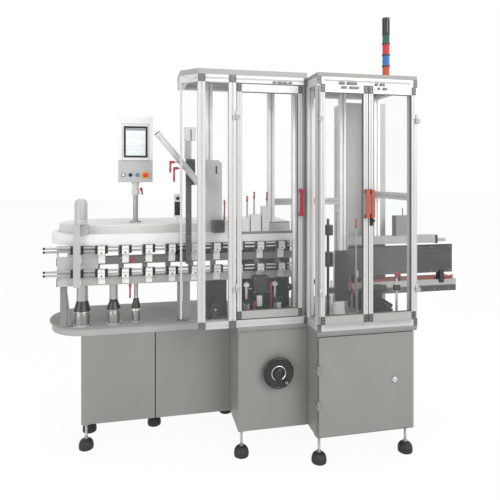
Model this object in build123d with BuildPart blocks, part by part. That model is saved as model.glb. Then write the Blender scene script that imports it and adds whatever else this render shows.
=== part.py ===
"""Automatic cartoner: base cabinets, table, infeed conveyor, guards, outfeed and operator panel.

Millimetres. The origin is on the floor under the middle of the machine's outer box.
+X runs with the cartons towards the outfeed, +Y points to the rear and +Z up.
"""

import os
from math import atan2, cos, hypot, radians, sin, tan

from build123d import *

# Clearances shared by every piece
seat_gap = 0.3
door_gap = 6.0
pin_gap = 0.1

# Feet
pad_diameter = 82.0
pad_edge = 12.0
pad_cone_top = 30.0
pad_cone_diameter = 46.0
pad_neck_height = 80.0
pad_neck_diameter = 30.0
stem_diameter = 15.0
foot_plate_width = 44.0
foot_plate_thickness = 8.0
foot_inset_x = 24.0
foot_inset_y = 38.0

# Base cabinets
cabinet_bottom = 150.0
cabinet_top = 690.0
cabinet_edge = 4.0
left_cabinet_left = -1077.0
left_cabinet_front = -16.0
left_cabinet_rear = 260.0
left_panel_seam = -669.0
seam_width = 4.0
seam_depth = 3.0
middle_cabinet_left = -233.0
middle_cabinet_front = -276.0
right_cabinet_left = 163.0
right_cabinet_right = 720.0
right_cabinet_front = -438.0
cabinet_rear = 330.0

# Deck plates on the middle and right cabinets
deck_thickness = 27.0
deck_lip = 5.0
deck_groove = 4.0

# Table on the left cabinet
table_left = -1275.0
table_front = -28.0
table_rear = 455.0
table_thickness = 10.0
table_end_radius = 235.0
tray_height = 44.0
tray_setback = 12.0

# Guard frames
profile = 40.0
groove_width = 8.0
groove_depth = 6.0
guard_height = 2070.0
roof_thickness = 22.0
left_guard_rise = 20.0
left_roof_thickness = 30.0
roof_gap = 1.0
left_guard_left = -453.0
left_guard_front = -275.0
left_door_post = -285.0
guard_split = 160.0
guard_right = 741.0
right_guard_front = -440.0
guard_rear = 40.0
angled_corner_x = -541.0
angled_corner_y = -185.0
angled_pane_setback = 3.0
edge_strip_width = 12.0
edge_strip_depth = 8.0
stop_post_gap = 2.0
pane_thickness = 5.0
rear_rail_height = 1365.0
side_rail_height = 1405.0
rear_post_left = -375.0
rear_post_right = 5.0
middle_rear_post_x = 470.0
bracket_thickness = 2.5

# Guard doors
leaf_thickness = 25.0
stile_width = 24.0
stile_groove = 6.0
stile_groove_depth = 4.0
leaf_rail_height = 42.0
left_door_right = 131.0
right_leaf_left_edge = 167.0
right_leaf_split = 436.0
right_leaf_right_edge = 714.0
leaf_corner_thickness = 2.0
hinge_radius = 7.0
hinge_pin_diameter = 6.0
hinge_length = 44.0
hinge_inset = 150.0
hinge_plate_thickness = 3.0
hinge_plate_width = 22.0

# Door handles
handle_length = 148.0
handle_width = 18.0
handle_reach = 30.0
handle_grip_depth = 10.0
handle_foot_height = 18.0
handle_bottom = 1320.0

# Cabinet door and its lock
cabinet_door_thickness = 18.0
cabinet_door_margin = 4.0
cabinet_hinge_plate = 3.0
cabinet_hinge_reach = 40.0
cabinet_hinge_lap = 1.0
lock_x = 605.0
lock_height = 431.0
lock_diameter = 30.0
lock_rise = 6.0
lock_slot_width = 6.0
lock_slot_height = 20.0
lock_slot_rise = 4.0

# Handwheel
handwheel_x = -16.0
handwheel_height = 465.0
handwheel_diameter = 172.0
handwheel_rim = 16.0
rim_facet_angle = 45.0
handwheel_disc = 12.0
handwheel_hub_diameter = 52.0
handwheel_hub_length = 22.0
handwheel_shaft_diameter = 22.0
handwheel_shaft_end = 10.0
handwheel_standoff = 34.0
handwheel_flange_diameter = 64.0
handwheel_flange_thickness = 8.0
handwheel_knob_diameter = 16.0
handwheel_knob_length = 26.0
handwheel_knob_inset = 18.0
handwheel_knob_angle = -50.0

# Electrical enclosure behind the right guard
enclosure_left = 560.0
enclosure_right = 839.0
enclosure_front = 115.0
enclosure_top = 2022.0

# Signal tower
tower_x = 670.0
tower_y = -215.0
tower_diameter = 44.0
tower_height = 388.0
tower_step = 2.0
tower_flange_diameter = 60.0
tower_flange_thickness = 16.0
tower_cap_height = 94.0
tower_core_diameter = 12.0
tower_lens_pitch = 66.0
tower_lens_height = 58.0
tower_lens_count = 4

# Infeed conveyor
conveyor_left = -1265.0
conveyor_right = 148.0
conveyor_front = -35.0
lower_beam_bottom = 927.0
lower_beam_height = 46.0
beam_spacing = 70.0
upper_beam_height = 43.0
band_rise = 67.0
band_height = 60.0
cover_height = 49.0
band_rear = 475.0
cover_left = -1229.0
cover_front = 25.0
cover_rear = 485.0
cover_edge = 6.0
beam_left = -1205.0
beam_depth = 44.0
beam_front = -14.0
spacer_width = 30.0
spacer_inset = 8.0
spacer_pitch = 132.0
spacer_first = -1140.0
end_plate_right = -985.0
end_window_left = -1196.0
end_window_right = -1150.0
end_window_rise = 6.0
end_window_height = 24.0

# Guide rails and their clamps
rail_diameter = 12.0
rail_spacing = 20.0
rail_left = -1272.0
rail_right = 140.0
upper_rail_rise = 48.0
lower_rail_rise = 31.0
clamp_first = -1095.0
clamp_pitch = 130.0
clamp_width = 38.0
clamp_depth = 46.0
clamp_above = 17.0
clamp_below = 28.0
clamp_front = -62.0
clamp_plate = 12.0
clamp_plate_rise = 8.0
collar_length = 15.0
collar_depth = 26.0
collar_above = 18.0
collar_below = 25.0

# Columns on the table: centre, column, collar, foot and cone sizes
column_y = 20.0
column_foot_height = 8.0
column_sleeve = 8.0
columns = [
    (-1074.0, 62.0, 96.0, 92.0, 779.0, 842.0),
    (-903.0, 47.0, 84.0, 84.0, 787.0, 828.0),
    (-778.0, 24.0, 59.0, 59.0, 772.0, 849.0),
]

# Post with a gusset under the conveyor's left end, and two legs beside the guard
leg_limits = [(-542.0, -527.0), (-510.0, -469.0)]
leg_depth = 30.0
front_post_x = -1190.0
front_post_width = 34.0
gusset_reach = 26.0
gusset_thickness = 10.0
gusset_setback = 6.0
gusset_drop = 20.0

# Drive cap at the left end, with an arm and a strip down in front of the first clamps
drive_cap_x = -1077.0
drive_cap_y = -15.0
drive_cap_diameter = 69.0
drive_cap_bottom = 1280.0
drive_cap_shoulder = 1390.0
drive_cap_slope_top = 1406.0
drive_cap_top = 1414.0
drive_cap_slope_diameter = 56.0
drive_cap_crown_diameter = 30.0
drive_box_half = 38.0
drive_box_rear = 15.0
drive_flange_height = 8.0
drive_arm_left = -1113.0
drive_arm_right = -1077.0
drive_strip_thickness = 6.0
drive_strip_bottom = 930.0

# Operator panel
panel_x = -782.0
panel_y = 185.0
panel_width = 203.0
panel_depth = 74.0
panel_bottom = 1505.0
panel_top = 1902.0
panel_edge = 8.0
panel_pole_diameter = 30.0
panel_foot_diameter = 64.0
panel_foot_thickness = 8.0
panel_neck_bottom = 1426.0
panel_neck_diameter = 48.0
panel_neck_edge = 5.0
panel_pole_reach = 40.0
panel_bore_end = 1.0
screen_width = 141.0
screen_bottom = 1655.0
screen_height = 186.0
screen_pocket = 10.0
screen_setback = 1.0
button_height = 1548.0
button_offsets = [-71.0, -30.0, 12.0]
button_diameter = 22.0
button_rise = 10.0
stop_offset = 57.0
stop_plate_diameter = 44.0
stop_plate_thickness = 3.0
stop_diameter = 32.0
stop_rise = 25.0
lever_hub_diameter = 12.0
lever_hub_length = 20.0
lever_grip_diameter = 10.0
lever_grip_length = 40.0

# Carton magazine
magazine_y = -115.0
magazine_top_x = -663.0
magazine_top_height = 1781.0
magazine_bottom_x = -395.0
magazine_bottom_height = 1459.0
magazine_beam_height = 35.0
magazine_beam_depth = 26.0
upright_x = -485.0
upright_width = 32.0
upright_depth = 20.0
upright_top = 1800.0
magazine_plate_left = -400.0
magazine_plate_right = -284.0
magazine_plate_top = 1635.0
magazine_plate_corner = 20.0
magazine_slot_left = -323.0
magazine_slot_right = -313.0
magazine_slot_bottom = 1554.0
magazine_slot_top = 1601.0
magazine_plate_thickness = 10.0
magazine_bracket_thickness = 10.0
lever_depth = 14.0

# Outfeed
outfeed_left = 515.0
outfeed_right = 1274.0
outfeed_front = -15.0
outfeed_depth = 115.0
outfeed_bottom = 793.0
outfeed_top = 868.0
outfeed_groove_low = 826.0
outfeed_groove_high = 834.0
outfeed_groove_depth = 3.0
side_plate_thickness = 6.0
side_plate_right = 1245.0
side_plate_bottom = 915.0
side_plate_top = 1095.0
belt_right = 1262.0
belt_thickness = 10.0
belt_front = 8.0
belt_rear = 88.0
belt_gap = 2.0
end_bracket_width = 17.0
back_plate_front = 40.0
back_plate_thickness = 12.0
top_beam_right = 1123.0
top_beam_bottom = 1109.0
top_beam_top = 1158.0
frame_overhang = 5.0
beam_box_width = 34.0
sensor_left = 845.0
sensor_right = 962.0
sensor_top = 1287.0
aerial_x = 905.0
aerial_top = 1335.0
aerial_diameter = 8.0
end_bar_right = 1200.0
end_bar_width = 20.0

# Carton opener: a plate on a cone, two wheels on a shaft and a sloping block on the deck
opener_y = -165.0
opener_plate_x = 370.0
opener_plate_y = -215.0
opener_plate_thickness = 10.0
opener_plate_left = 343.0
opener_plate_right = 431.0
opener_plate_top = 1108.0
pedestal_top = 815.0
pedestal_base_diameter = 84.0
pedestal_top_diameter = 64.0
wheel_x = 325.0
wheel_diameter = 58.0
wheel_rows = [(1012.0, 1095.0), (1195.0, 1254.0)]
wheel_shaft_diameter = 16.0
wheel_shaft_top = 1290.0
ramp_left = 580.0
ramp_right = 696.0
ramp_front = -250.0
ramp_width = 100.0
ramp_low = 760.0
ramp_high = 838.0

# Format blocks on the band, and a sensor housing on a stem that stands on the cover
format_inset = 2.0
housing_front = 35.0
housing_depth = 22.0
housing_stem_depth = 12.0

table_top = cabinet_top + table_thickness
guard_base = cabinet_top + deck_thickness
guard_top = guard_height + roof_thickness
left_guard_height = guard_height + left_guard_rise
left_guard_top = left_guard_height + left_roof_thickness
left_top_rail = left_guard_height - profile
left_cabinet_top = cabinet_top - tray_height
tower_top = guard_top + tower_height
lower_beam_top = lower_beam_bottom + lower_beam_height
upper_beam_bottom = lower_beam_top + beam_spacing
upper_beam_top = upper_beam_bottom + upper_beam_height
band_bottom = upper_beam_top + band_rise
cover_bottom = band_bottom + band_height
cover_top = cover_bottom + cover_height
spacer_count = int((conveyor_right - spacer_first - spacer_width) // spacer_pitch) + 1
clamp_count = int((rail_right - clamp_first - clamp_width / 2 - collar_length) // clamp_pitch) + 1
upper_rail_height = upper_beam_top + upper_rail_rise
lower_rail_height = lower_beam_top + lower_rail_rise
top_rail = guard_height - profile

os.makedirs("parts", exist_ok=True)


def block(x_low, x_high, y_low, y_high, z_low, z_high, mode=Mode.ADD):
    """Puts a block between six planes into the piece being made."""
    centre = ((x_low + x_high) / 2, (y_low + y_high) / 2, (z_low + z_high) / 2)
    with Locations(centre):
        Box(x_high - x_low, y_high - y_low, z_high - z_low, mode=mode)


def upright(x, y, z_low, z_high, diameter, mode=Mode.ADD):
    """Puts a vertical round bar into the piece being made."""
    with Locations((x, y, (z_low + z_high) / 2)):
        Cylinder(diameter / 2, z_high - z_low, mode=mode)


def grooved_bar(plane, length):
    """Extrudes a square bar with a slot along each side from a plane through its centre line."""
    with BuildSketch(plane) as section:
        Rectangle(profile, profile)
        with Locations((profile / 2, 0), (-profile / 2, 0)):
            Rectangle(2 * groove_depth, groove_width, mode=Mode.SUBTRACT)
        with Locations((0, profile / 2), (0, -profile / 2)):
            Rectangle(groove_width, 2 * groove_depth, mode=Mode.SUBTRACT)
    extrude(section.sketch, amount=length)


def bar_up(x_low, y_low, z_low, z_high):
    """Grooved post whose lowest corner is given."""
    centre = (x_low + profile / 2, y_low + profile / 2, z_low)
    grooved_bar(Plane(origin=centre, x_dir=(1, 0, 0), z_dir=(0, 0, 1)), z_high - z_low)


def bar_along_x(x_low, x_high, y_low, z_low):
    """Grooved rail along X whose lowest corner is given."""
    centre = (x_low, y_low + profile / 2, z_low + profile / 2)
    grooved_bar(Plane(origin=centre, x_dir=(0, 1, 0), z_dir=(1, 0, 0)), x_high - x_low)


def bar_along_y(x_low, y_low, y_high, z_low):
    """Grooved rail along Y whose lowest corner is given."""
    centre = (x_low + profile / 2, y_low, z_low + profile / 2)
    grooved_bar(Plane(origin=centre, x_dir=(1, 0, 0), z_dir=(0, 1, 0)), y_high - y_low)


def slab(corners, z_low, z_high):
    """Puts a flat piece with a given plan outline between two heights."""
    with BuildSketch(Plane.XY.offset(z_low)) as plan:
        with BuildLine():
            Polyline(*corners, close=True)
        make_face()
    extrude(plan.sketch, amount=z_high - z_low)


def blocks(limits):
    """Puts a row of blocks, each given by its six limits, into the piece being made."""
    for x_low, x_high, y_low, y_high, z_low, z_high in limits:
        block(x_low, x_high, y_low, y_high, z_low, z_high)


def write(piece, name):
    """Labels a finished piece and writes it to its file."""
    piece.part.label = name
    export_step(piece.part, f"parts/{name}.step")


# Base cabinets
with BuildPart() as base_cabinet_left:
    block(left_cabinet_left, middle_cabinet_left, left_cabinet_front, left_cabinet_rear,
          cabinet_bottom, left_cabinet_top)
    chamfer(base_cabinet_left.edges().filter_by(Axis.Z).sort_by(Axis.X)[:2], cabinet_edge)
    block(left_panel_seam - seam_width / 2, left_panel_seam + seam_width / 2, left_cabinet_front,
          left_cabinet_front + seam_depth, cabinet_bottom, left_cabinet_top, Mode.SUBTRACT)
write(base_cabinet_left, "base_cabinet_left")

with BuildPart() as base_cabinet_middle:
    block(middle_cabinet_left, right_cabinet_left, middle_cabinet_front, cabinet_rear,
          cabinet_bottom, cabinet_top)
    block(middle_cabinet_left - deck_lip, guard_split, middle_cabinet_front - deck_lip, cabinet_rear,
          cabinet_top, guard_base)
    block(middle_cabinet_left - deck_lip, guard_split, middle_cabinet_front - deck_lip,
          middle_cabinet_front, cabinet_top + deck_groove, cabinet_top + 2 * deck_groove, Mode.SUBTRACT)
write(base_cabinet_middle, "base_cabinet_middle")

door_back = right_cabinet_front + cabinet_door_thickness
right_body_front = door_back + door_gap
with BuildPart() as base_cabinet_right:
    block(right_cabinet_left, right_cabinet_right, right_body_front, cabinet_rear,
          cabinet_bottom, cabinet_top)
    block(guard_split, guard_right, right_guard_front, cabinet_rear, cabinet_top, guard_base)
    block(guard_split, guard_right, right_guard_front, right_guard_front + deck_groove,
          cabinet_top + deck_groove, cabinet_top + 2 * deck_groove, Mode.SUBTRACT)
write(base_cabinet_right, "base_cabinet_right")


def table_outline(setback):
    """Table outline with round left corners, drawn in from its edge by a setback."""
    radius = table_end_radius - setback
    left = table_left + setback
    front = table_front + setback
    rear = table_rear - setback
    with BuildSketch() as outline:
        with BuildLine():
            Line((middle_cabinet_left, front), (left + radius, front))
            RadiusArc((left + radius, front), (left, front + radius), radius)
            Line((left, front + radius), (left, rear - radius))
            RadiusArc((left, rear - radius), (left + radius, rear), radius)
            Line((left + radius, rear), (middle_cabinet_left, rear))
            Line((middle_cabinet_left, rear), (middle_cabinet_left, front))
        make_face()
    return outline.sketch


# Table plate and the tray under it
with BuildPart() as table_plate:
    with BuildSketch(Plane.XY.offset(cabinet_top)):
        add(table_outline(0.0))
    extrude(amount=table_thickness)
    block(middle_cabinet_left - deck_lip, middle_cabinet_left, table_front, cabinet_rear,
          cabinet_top, table_top, Mode.SUBTRACT)
write(table_plate, "table_plate")

with BuildPart() as table_tray:
    with BuildSketch(Plane.XY.offset(left_cabinet_top)):
        add(table_outline(tray_setback))
    extrude(amount=tray_height)
write(table_tray, "table_tray")

# Levelling feet
right_front_foot_y = right_body_front + foot_inset_x
feet = [
    (left_cabinet_left + foot_inset_x, left_cabinet_front + foot_inset_y),
    (left_cabinet_left + foot_inset_x, left_cabinet_rear - foot_inset_y),
    (left_panel_seam, left_cabinet_rear - foot_inset_y),
    (middle_cabinet_left + foot_inset_x, middle_cabinet_front + foot_inset_y),
    (middle_cabinet_left + foot_inset_x, cabinet_rear - foot_inset_y),
    (right_cabinet_left + foot_inset_x, right_front_foot_y),
    (right_cabinet_right - foot_inset_x, right_front_foot_y),
    (right_cabinet_left + foot_inset_x, cabinet_rear - foot_inset_y),
    (right_cabinet_right - foot_inset_x, cabinet_rear - foot_inset_y),
]
foot_plate_bottom = cabinet_bottom - foot_plate_thickness
with BuildPart() as one_foot:
    with BuildSketch(Plane.XZ):
        with BuildLine():
            Polyline((0, 0), (pad_diameter / 2, 0), (pad_diameter / 2, pad_edge),
                     (pad_cone_diameter / 2, pad_cone_top), (pad_neck_diameter / 2, pad_neck_height),
                     (stem_diameter / 2, pad_neck_height), (stem_diameter / 2, foot_plate_bottom),
                     (0, foot_plate_bottom), close=True)
        make_face()
    revolve(axis=Axis.Z)
    block(-foot_plate_width / 2, foot_plate_width / 2, -foot_plate_width / 2, foot_plate_width / 2,
          foot_plate_bottom, cabinet_bottom)
with BuildPart() as levelling_feet:
    with Locations(*[(x, y, 0) for x, y in feet]):
        add(one_foot.part)
write(levelling_feet, "levelling_feet")

# Guard posts
left_front_inner = left_guard_front + profile
right_front_inner = right_guard_front + profile
rear_post_y = guard_rear - profile
with BuildPart() as guard_posts:
    bar_up(left_guard_left, left_guard_front, guard_base, left_guard_height)
    bar_up(left_door_post, left_guard_front, guard_base, left_guard_height)
    bar_up(guard_split - stop_post_gap - profile, left_guard_front + leaf_thickness + door_gap,
           guard_base + profile, left_top_rail)
    for post_x in (rear_post_left, rear_post_right):
        bar_up(post_x, rear_post_y, cover_top, left_guard_height)
    block(angled_corner_x, angled_corner_x + edge_strip_width, angled_corner_y,
          angled_corner_y + edge_strip_depth, guard_base + profile, left_top_rail)
    bar_up(guard_split, right_guard_front, guard_base, guard_height)
    bar_up(guard_split, left_guard_front, guard_base, guard_height)
    bar_up(guard_split, rear_post_y, guard_base, guard_height)
    bar_up(guard_right - profile, right_guard_front, guard_base, guard_height)
    bar_up(middle_rear_post_x, rear_post_y, guard_base, guard_height)
    bar_up(guard_right - profile, rear_post_y, top_beam_top, guard_height)
write(guard_posts, "guard_posts")

# Guard rails along X, and the upper one along the angled left side
angled_rail = [
    (left_guard_left, left_guard_front),
    (angled_corner_x, angled_corner_y),
    (angled_corner_x + profile, angled_corner_y),
    (left_guard_left, left_front_inner),
]
with BuildPart() as guard_rails_x:
    for z in (guard_base, left_top_rail):
        bar_along_x(left_guard_left + profile, left_door_post, left_guard_front, z)
        bar_along_x(left_door_post + profile, guard_split, left_guard_front, z)
    for z in (guard_base, top_rail):
        bar_along_x(guard_split + profile, guard_right - profile, right_guard_front, z)
    slab(angled_rail, left_top_rail, left_guard_height)
    bar_along_x(angled_corner_x + profile, rear_post_left, rear_post_y, left_top_rail)
    bar_along_x(rear_post_left + profile, rear_post_right, rear_post_y, left_top_rail)
    bar_along_x(rear_post_right + profile, guard_split, rear_post_y, left_top_rail)
    bar_along_x(guard_split + profile, middle_rear_post_x, rear_post_y, top_rail)
    bar_along_x(middle_rear_post_x + profile, guard_right - profile, rear_post_y, top_rail)
    bar_along_x(rear_post_right + profile, guard_split, rear_post_y, rear_rail_height)
    bar_along_x(guard_split + profile, middle_rear_post_x, rear_post_y, rear_rail_height)
    bar_along_x(guard_split + profile, middle_rear_post_x, rear_post_y, guard_base)
write(guard_rails_x, "guard_rails_x")

# Guard rails along Y
with BuildPart() as guard_rails_y:
    for z in (guard_base, top_rail):
        bar_along_y(guard_split, right_front_inner, left_guard_front, z)
    bar_along_y(guard_split, left_front_inner, rear_post_y, top_rail)
    bar_along_y(guard_right - profile, right_front_inner, rear_post_y, top_rail)
    bar_along_y(guard_right - profile, right_front_inner, rear_post_y, side_rail_height)
    bar_along_y(angled_corner_x, angled_corner_y, guard_rear, left_top_rail)
write(guard_rails_y, "guard_rails_y")

# Roof: a shallow cap on each guard
left_roof = [
    (guard_split - roof_gap, left_guard_front),
    (left_guard_left, left_guard_front),
    (angled_corner_x, angled_corner_y),
    (angled_corner_x, guard_rear),
    (guard_split - roof_gap, guard_rear),
]
with BuildPart() as guard_roof:
    slab(left_roof, left_guard_height, left_guard_top)
    block(guard_split, guard_right, right_guard_front, guard_rear, guard_height, guard_top)
write(guard_roof, "guard_roof")

# Fixed panes
pane_bite = groove_depth - seat_gap


def pane_across_x(x_low, x_high, y_low, z_low, z_high):
    """Pane between two posts and two rails along X, let into their grooves."""
    middle = y_low + profile / 2
    block(x_low - pane_bite, x_high + pane_bite, middle - pane_thickness / 2, middle + pane_thickness / 2,
          z_low - pane_bite, z_high + pane_bite)


def pane_across_y(x_low, y_low, y_high, z_low, z_high):
    """Pane between two posts and two rails along Y, let into their grooves."""
    middle = x_low + profile / 2
    block(middle - pane_thickness / 2, middle + pane_thickness / 2, y_low - pane_bite, y_high + pane_bite,
          z_low - pane_bite, z_high + pane_bite)


angled_pane_inner = angled_pane_setback + pane_thickness * hypot(1, 1)
angled_pane = [
    (left_guard_left, left_guard_front + angled_pane_setback),
    (angled_corner_x + angled_pane_setback, angled_corner_y),
    (angled_corner_x + angled_pane_inner, angled_corner_y),
    (left_guard_left, left_guard_front + angled_pane_inner),
]
with BuildPart() as guard_panes:
    pane_across_x(left_guard_left + profile, left_door_post, left_guard_front, guard_base + profile,
                  left_top_rail)
    pane_across_x(guard_split + profile, middle_rear_post_x, rear_post_y, rear_rail_height + profile,
                  top_rail)
    pane_across_y(guard_split, right_front_inner, left_guard_front, guard_base + profile, top_rail)
    pane_across_y(guard_right - profile, right_front_inner, rear_post_y, side_rail_height + profile, top_rail)
    slab(angled_pane, guard_base + profile, left_top_rail)
write(guard_panes, "guard_panes")


def door_leaf(x_low, x_high, y_front, z_low, z_high):
    """Door frame of stiles with a groove down the front, and rails, around an opening."""
    block(x_low, x_high, y_front, y_front + leaf_thickness, z_low, z_high)
    block(x_low + stile_width, x_high - stile_width, y_front, y_front + leaf_thickness,
          z_low + leaf_rail_height, z_high - leaf_rail_height, Mode.SUBTRACT)
    for x in (x_low + stile_width / 2, x_high - stile_width / 2):
        block(x - stile_groove / 2, x + stile_groove / 2, y_front, y_front + stile_groove_depth,
              z_low, z_high, Mode.SUBTRACT)


def leaf_corners(x_low, x_high, y_front, z_low, z_high):
    """Flat corner pieces on the front of a door frame."""
    for x in (x_low, x_high - stile_width):
        for z in (z_low, z_high - leaf_rail_height):
            block(x, x + stile_width, y_front - leaf_corner_thickness, y_front, z, z + leaf_rail_height)


def hinge_heights(z_low, z_high):
    """Lower ends of a leaf's two hinges."""
    return [z_low + hinge_inset, z_high - hinge_inset - hinge_length]


def leaf_knuckles(x, y, z_low, z_high, towards):
    """Upper half of each hinge: a bored barrel and its plate on the leaf."""
    for z in hinge_heights(z_low, z_high):
        half = z + hinge_length / 2
        upright(x, y, half + seat_gap, z + hinge_length, 2 * hinge_radius)
        x_plate = sorted((x, x + towards * hinge_plate_width))
        block(x_plate[0], x_plate[1], y + hinge_radius - hinge_plate_thickness, y + hinge_radius,
              half + seat_gap, z + hinge_length)
        upright(x, y, half, z + hinge_length, hinge_pin_diameter + 2 * pin_gap, Mode.SUBTRACT)


def frame_knuckles(x, y, z_low, z_high, plate_reach, seat_y):
    """Lower half of each hinge: a barrel with its pin and a plate on the post."""
    for z in hinge_heights(z_low, z_high):
        half = z + hinge_length / 2
        upright(x, y, z, half, 2 * hinge_radius)
        upright(x, y, z, z + hinge_length, hinge_pin_diameter)
        x_plate = sorted((x, x + plate_reach))
        block(x_plate[0], x_plate[1], y, seat_y, z, half)


leaf_low = guard_base + profile + door_gap
leaf_high = top_rail - door_gap
left_leaf_high = left_top_rail - door_gap
left_door_left = left_door_post + profile + door_gap
left_hinge_x = left_door_left - door_gap / 2
left_hinge_y = left_guard_front - hinge_radius
right_leaf_front = right_guard_front - door_gap - leaf_thickness
right_hinge_y = right_leaf_front - hinge_radius
middle_door_right = right_leaf_split - door_gap / 2
right_door_left = right_leaf_split + door_gap / 2
middle_hinge_x = right_leaf_left_edge - door_gap / 2
right_hinge_x = right_leaf_right_edge + door_gap / 2

with BuildPart() as left_door_frame:
    door_leaf(left_door_left, left_door_right, left_guard_front, leaf_low, left_leaf_high)
    leaf_knuckles(left_hinge_x, left_hinge_y, leaf_low, left_leaf_high, 1)
write(left_door_frame, "left_door_frame")

with BuildPart() as middle_door_frame:
    door_leaf(right_leaf_left_edge, middle_door_right, right_leaf_front, leaf_low, leaf_high)
    leaf_knuckles(middle_hinge_x, right_hinge_y, leaf_low, leaf_high, 1)
write(middle_door_frame, "middle_door_frame")

with BuildPart() as right_door_frame:
    door_leaf(right_door_left, right_leaf_right_edge, right_leaf_front, leaf_low, leaf_high)
    leaf_knuckles(right_hinge_x, right_hinge_y, leaf_low, leaf_high, -1)
write(right_door_frame, "right_door_frame")

with BuildPart() as left_door_corners:
    leaf_corners(left_door_left, left_door_right, left_guard_front, leaf_low, left_leaf_high)
write(left_door_corners, "left_door_corners")

with BuildPart() as middle_door_corners:
    leaf_corners(right_leaf_left_edge, middle_door_right, right_leaf_front, leaf_low, leaf_high)
write(middle_door_corners, "middle_door_corners")

with BuildPart() as right_door_corners:
    leaf_corners(right_door_left, right_leaf_right_edge, right_leaf_front, leaf_low, leaf_high)
write(right_door_corners, "right_door_corners")

cabinet_hinge_x = right_cabinet_left + cabinet_door_margin - door_gap / 2
cabinet_hinge_y = right_cabinet_front - hinge_radius
cabinet_door_low = cabinet_bottom + door_gap
cabinet_door_high = cabinet_top - cabinet_door_margin
cabinet_hinge_seat = right_body_front + cabinet_hinge_reach
with BuildPart() as door_hinges:
    frame_knuckles(left_hinge_x, left_hinge_y, leaf_low, left_leaf_high, -hinge_plate_width,
                   left_guard_front)
    frame_knuckles(middle_hinge_x, right_hinge_y, leaf_low, leaf_high,
                   guard_split - middle_hinge_x, right_guard_front)
    frame_knuckles(right_hinge_x, right_hinge_y, leaf_low, leaf_high, hinge_plate_width,
                   right_guard_front)
    frame_knuckles(cabinet_hinge_x, cabinet_hinge_y, cabinet_door_low, cabinet_door_high,
                   right_cabinet_left - cabinet_hinge_plate - cabinet_hinge_x,
                   cabinet_hinge_y + cabinet_hinge_lap)
    for z in hinge_heights(cabinet_door_low, cabinet_door_high):
        block(right_cabinet_left - cabinet_hinge_plate, right_cabinet_left, cabinet_hinge_y,
              cabinet_hinge_seat, z, z + hinge_length / 2)
write(door_hinges, "door_hinges")


def pane_in(x_low, x_high, y_front, z_low, z_high):
    """Pane that fills a leaf's opening."""
    middle = y_front + leaf_thickness / 2
    block(x_low + stile_width, x_high - stile_width, middle - pane_thickness / 2, middle + pane_thickness / 2,
          z_low + leaf_rail_height, z_high - leaf_rail_height)


with BuildPart() as left_door_pane:
    pane_in(left_door_left, left_door_right, left_guard_front, leaf_low, left_leaf_high)
write(left_door_pane, "left_door_pane")

with BuildPart() as middle_door_pane:
    pane_in(right_leaf_left_edge, middle_door_right, right_leaf_front, leaf_low, leaf_high)
write(middle_door_pane, "middle_door_pane")

with BuildPart() as right_door_pane:
    pane_in(right_door_left, right_leaf_right_edge, right_leaf_front, leaf_low, leaf_high)
write(right_door_pane, "right_door_pane")


def pull_handle(x, y_front):
    """Bow handle on a stile: two feet and a grip."""
    left = x - handle_width / 2
    right = x + handle_width / 2
    block(left, right, y_front - handle_reach, y_front - handle_reach + handle_grip_depth,
          handle_bottom, handle_bottom + handle_length)
    for z in (handle_bottom, handle_bottom + handle_length - handle_foot_height):
        block(left, right, y_front - handle_reach, y_front, z, z + handle_foot_height)


with BuildPart() as left_door_handle:
    pull_handle(left_door_right - stile_width / 2, left_guard_front)
write(left_door_handle, "left_door_handle")

with BuildPart() as middle_door_handle:
    pull_handle(middle_door_right - stile_width / 2, right_leaf_front)
write(middle_door_handle, "middle_door_handle")

with BuildPart() as right_door_handle:
    pull_handle(right_door_left + stile_width / 2, right_leaf_front)
write(right_door_handle, "right_door_handle")

# Right cabinet's door and its quarter-turn lock
with BuildPart() as cabinet_door:
    block(right_cabinet_left + cabinet_door_margin, right_cabinet_right, right_cabinet_front, door_back,
          cabinet_door_low, cabinet_door_high)
    chamfer(cabinet_door.edges().filter_by(Axis.Z).sort_by(Axis.Y)[:2], cabinet_edge)
    leaf_knuckles(cabinet_hinge_x, cabinet_hinge_y, cabinet_door_low, cabinet_door_high, 1)
write(cabinet_door, "cabinet_door")

lock_front = right_cabinet_front - lock_rise
with BuildPart() as cabinet_lock:
    with BuildSketch(Plane(origin=(lock_x, right_cabinet_front, lock_height), x_dir=(1, 0, 0),
                           z_dir=(0, -1, 0))):
        Circle(lock_diameter / 2)
    extrude(amount=lock_rise)
    block(lock_x - lock_slot_width / 2, lock_x + lock_slot_width / 2, lock_front - lock_slot_rise, lock_front,
          lock_height - lock_slot_height / 2, lock_height + lock_slot_height / 2)
write(cabinet_lock, "cabinet_lock")

# Handwheel on the middle cabinet's front
wheel_y = middle_cabinet_front - handwheel_standoff
with BuildPart() as handwheel_shaft:
    with BuildSketch(Plane(origin=(handwheel_x, middle_cabinet_front, handwheel_height), x_dir=(1, 0, 0),
                           z_dir=(0, -1, 0))) as flange:
        Circle(handwheel_flange_diameter / 2)
    extrude(amount=handwheel_flange_thickness)
    with BuildSketch(flange.workplanes[0]):
        Circle(handwheel_shaft_diameter / 2)
    extrude(amount=handwheel_standoff + handwheel_shaft_end)
write(handwheel_shaft, "handwheel_shaft")

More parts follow.
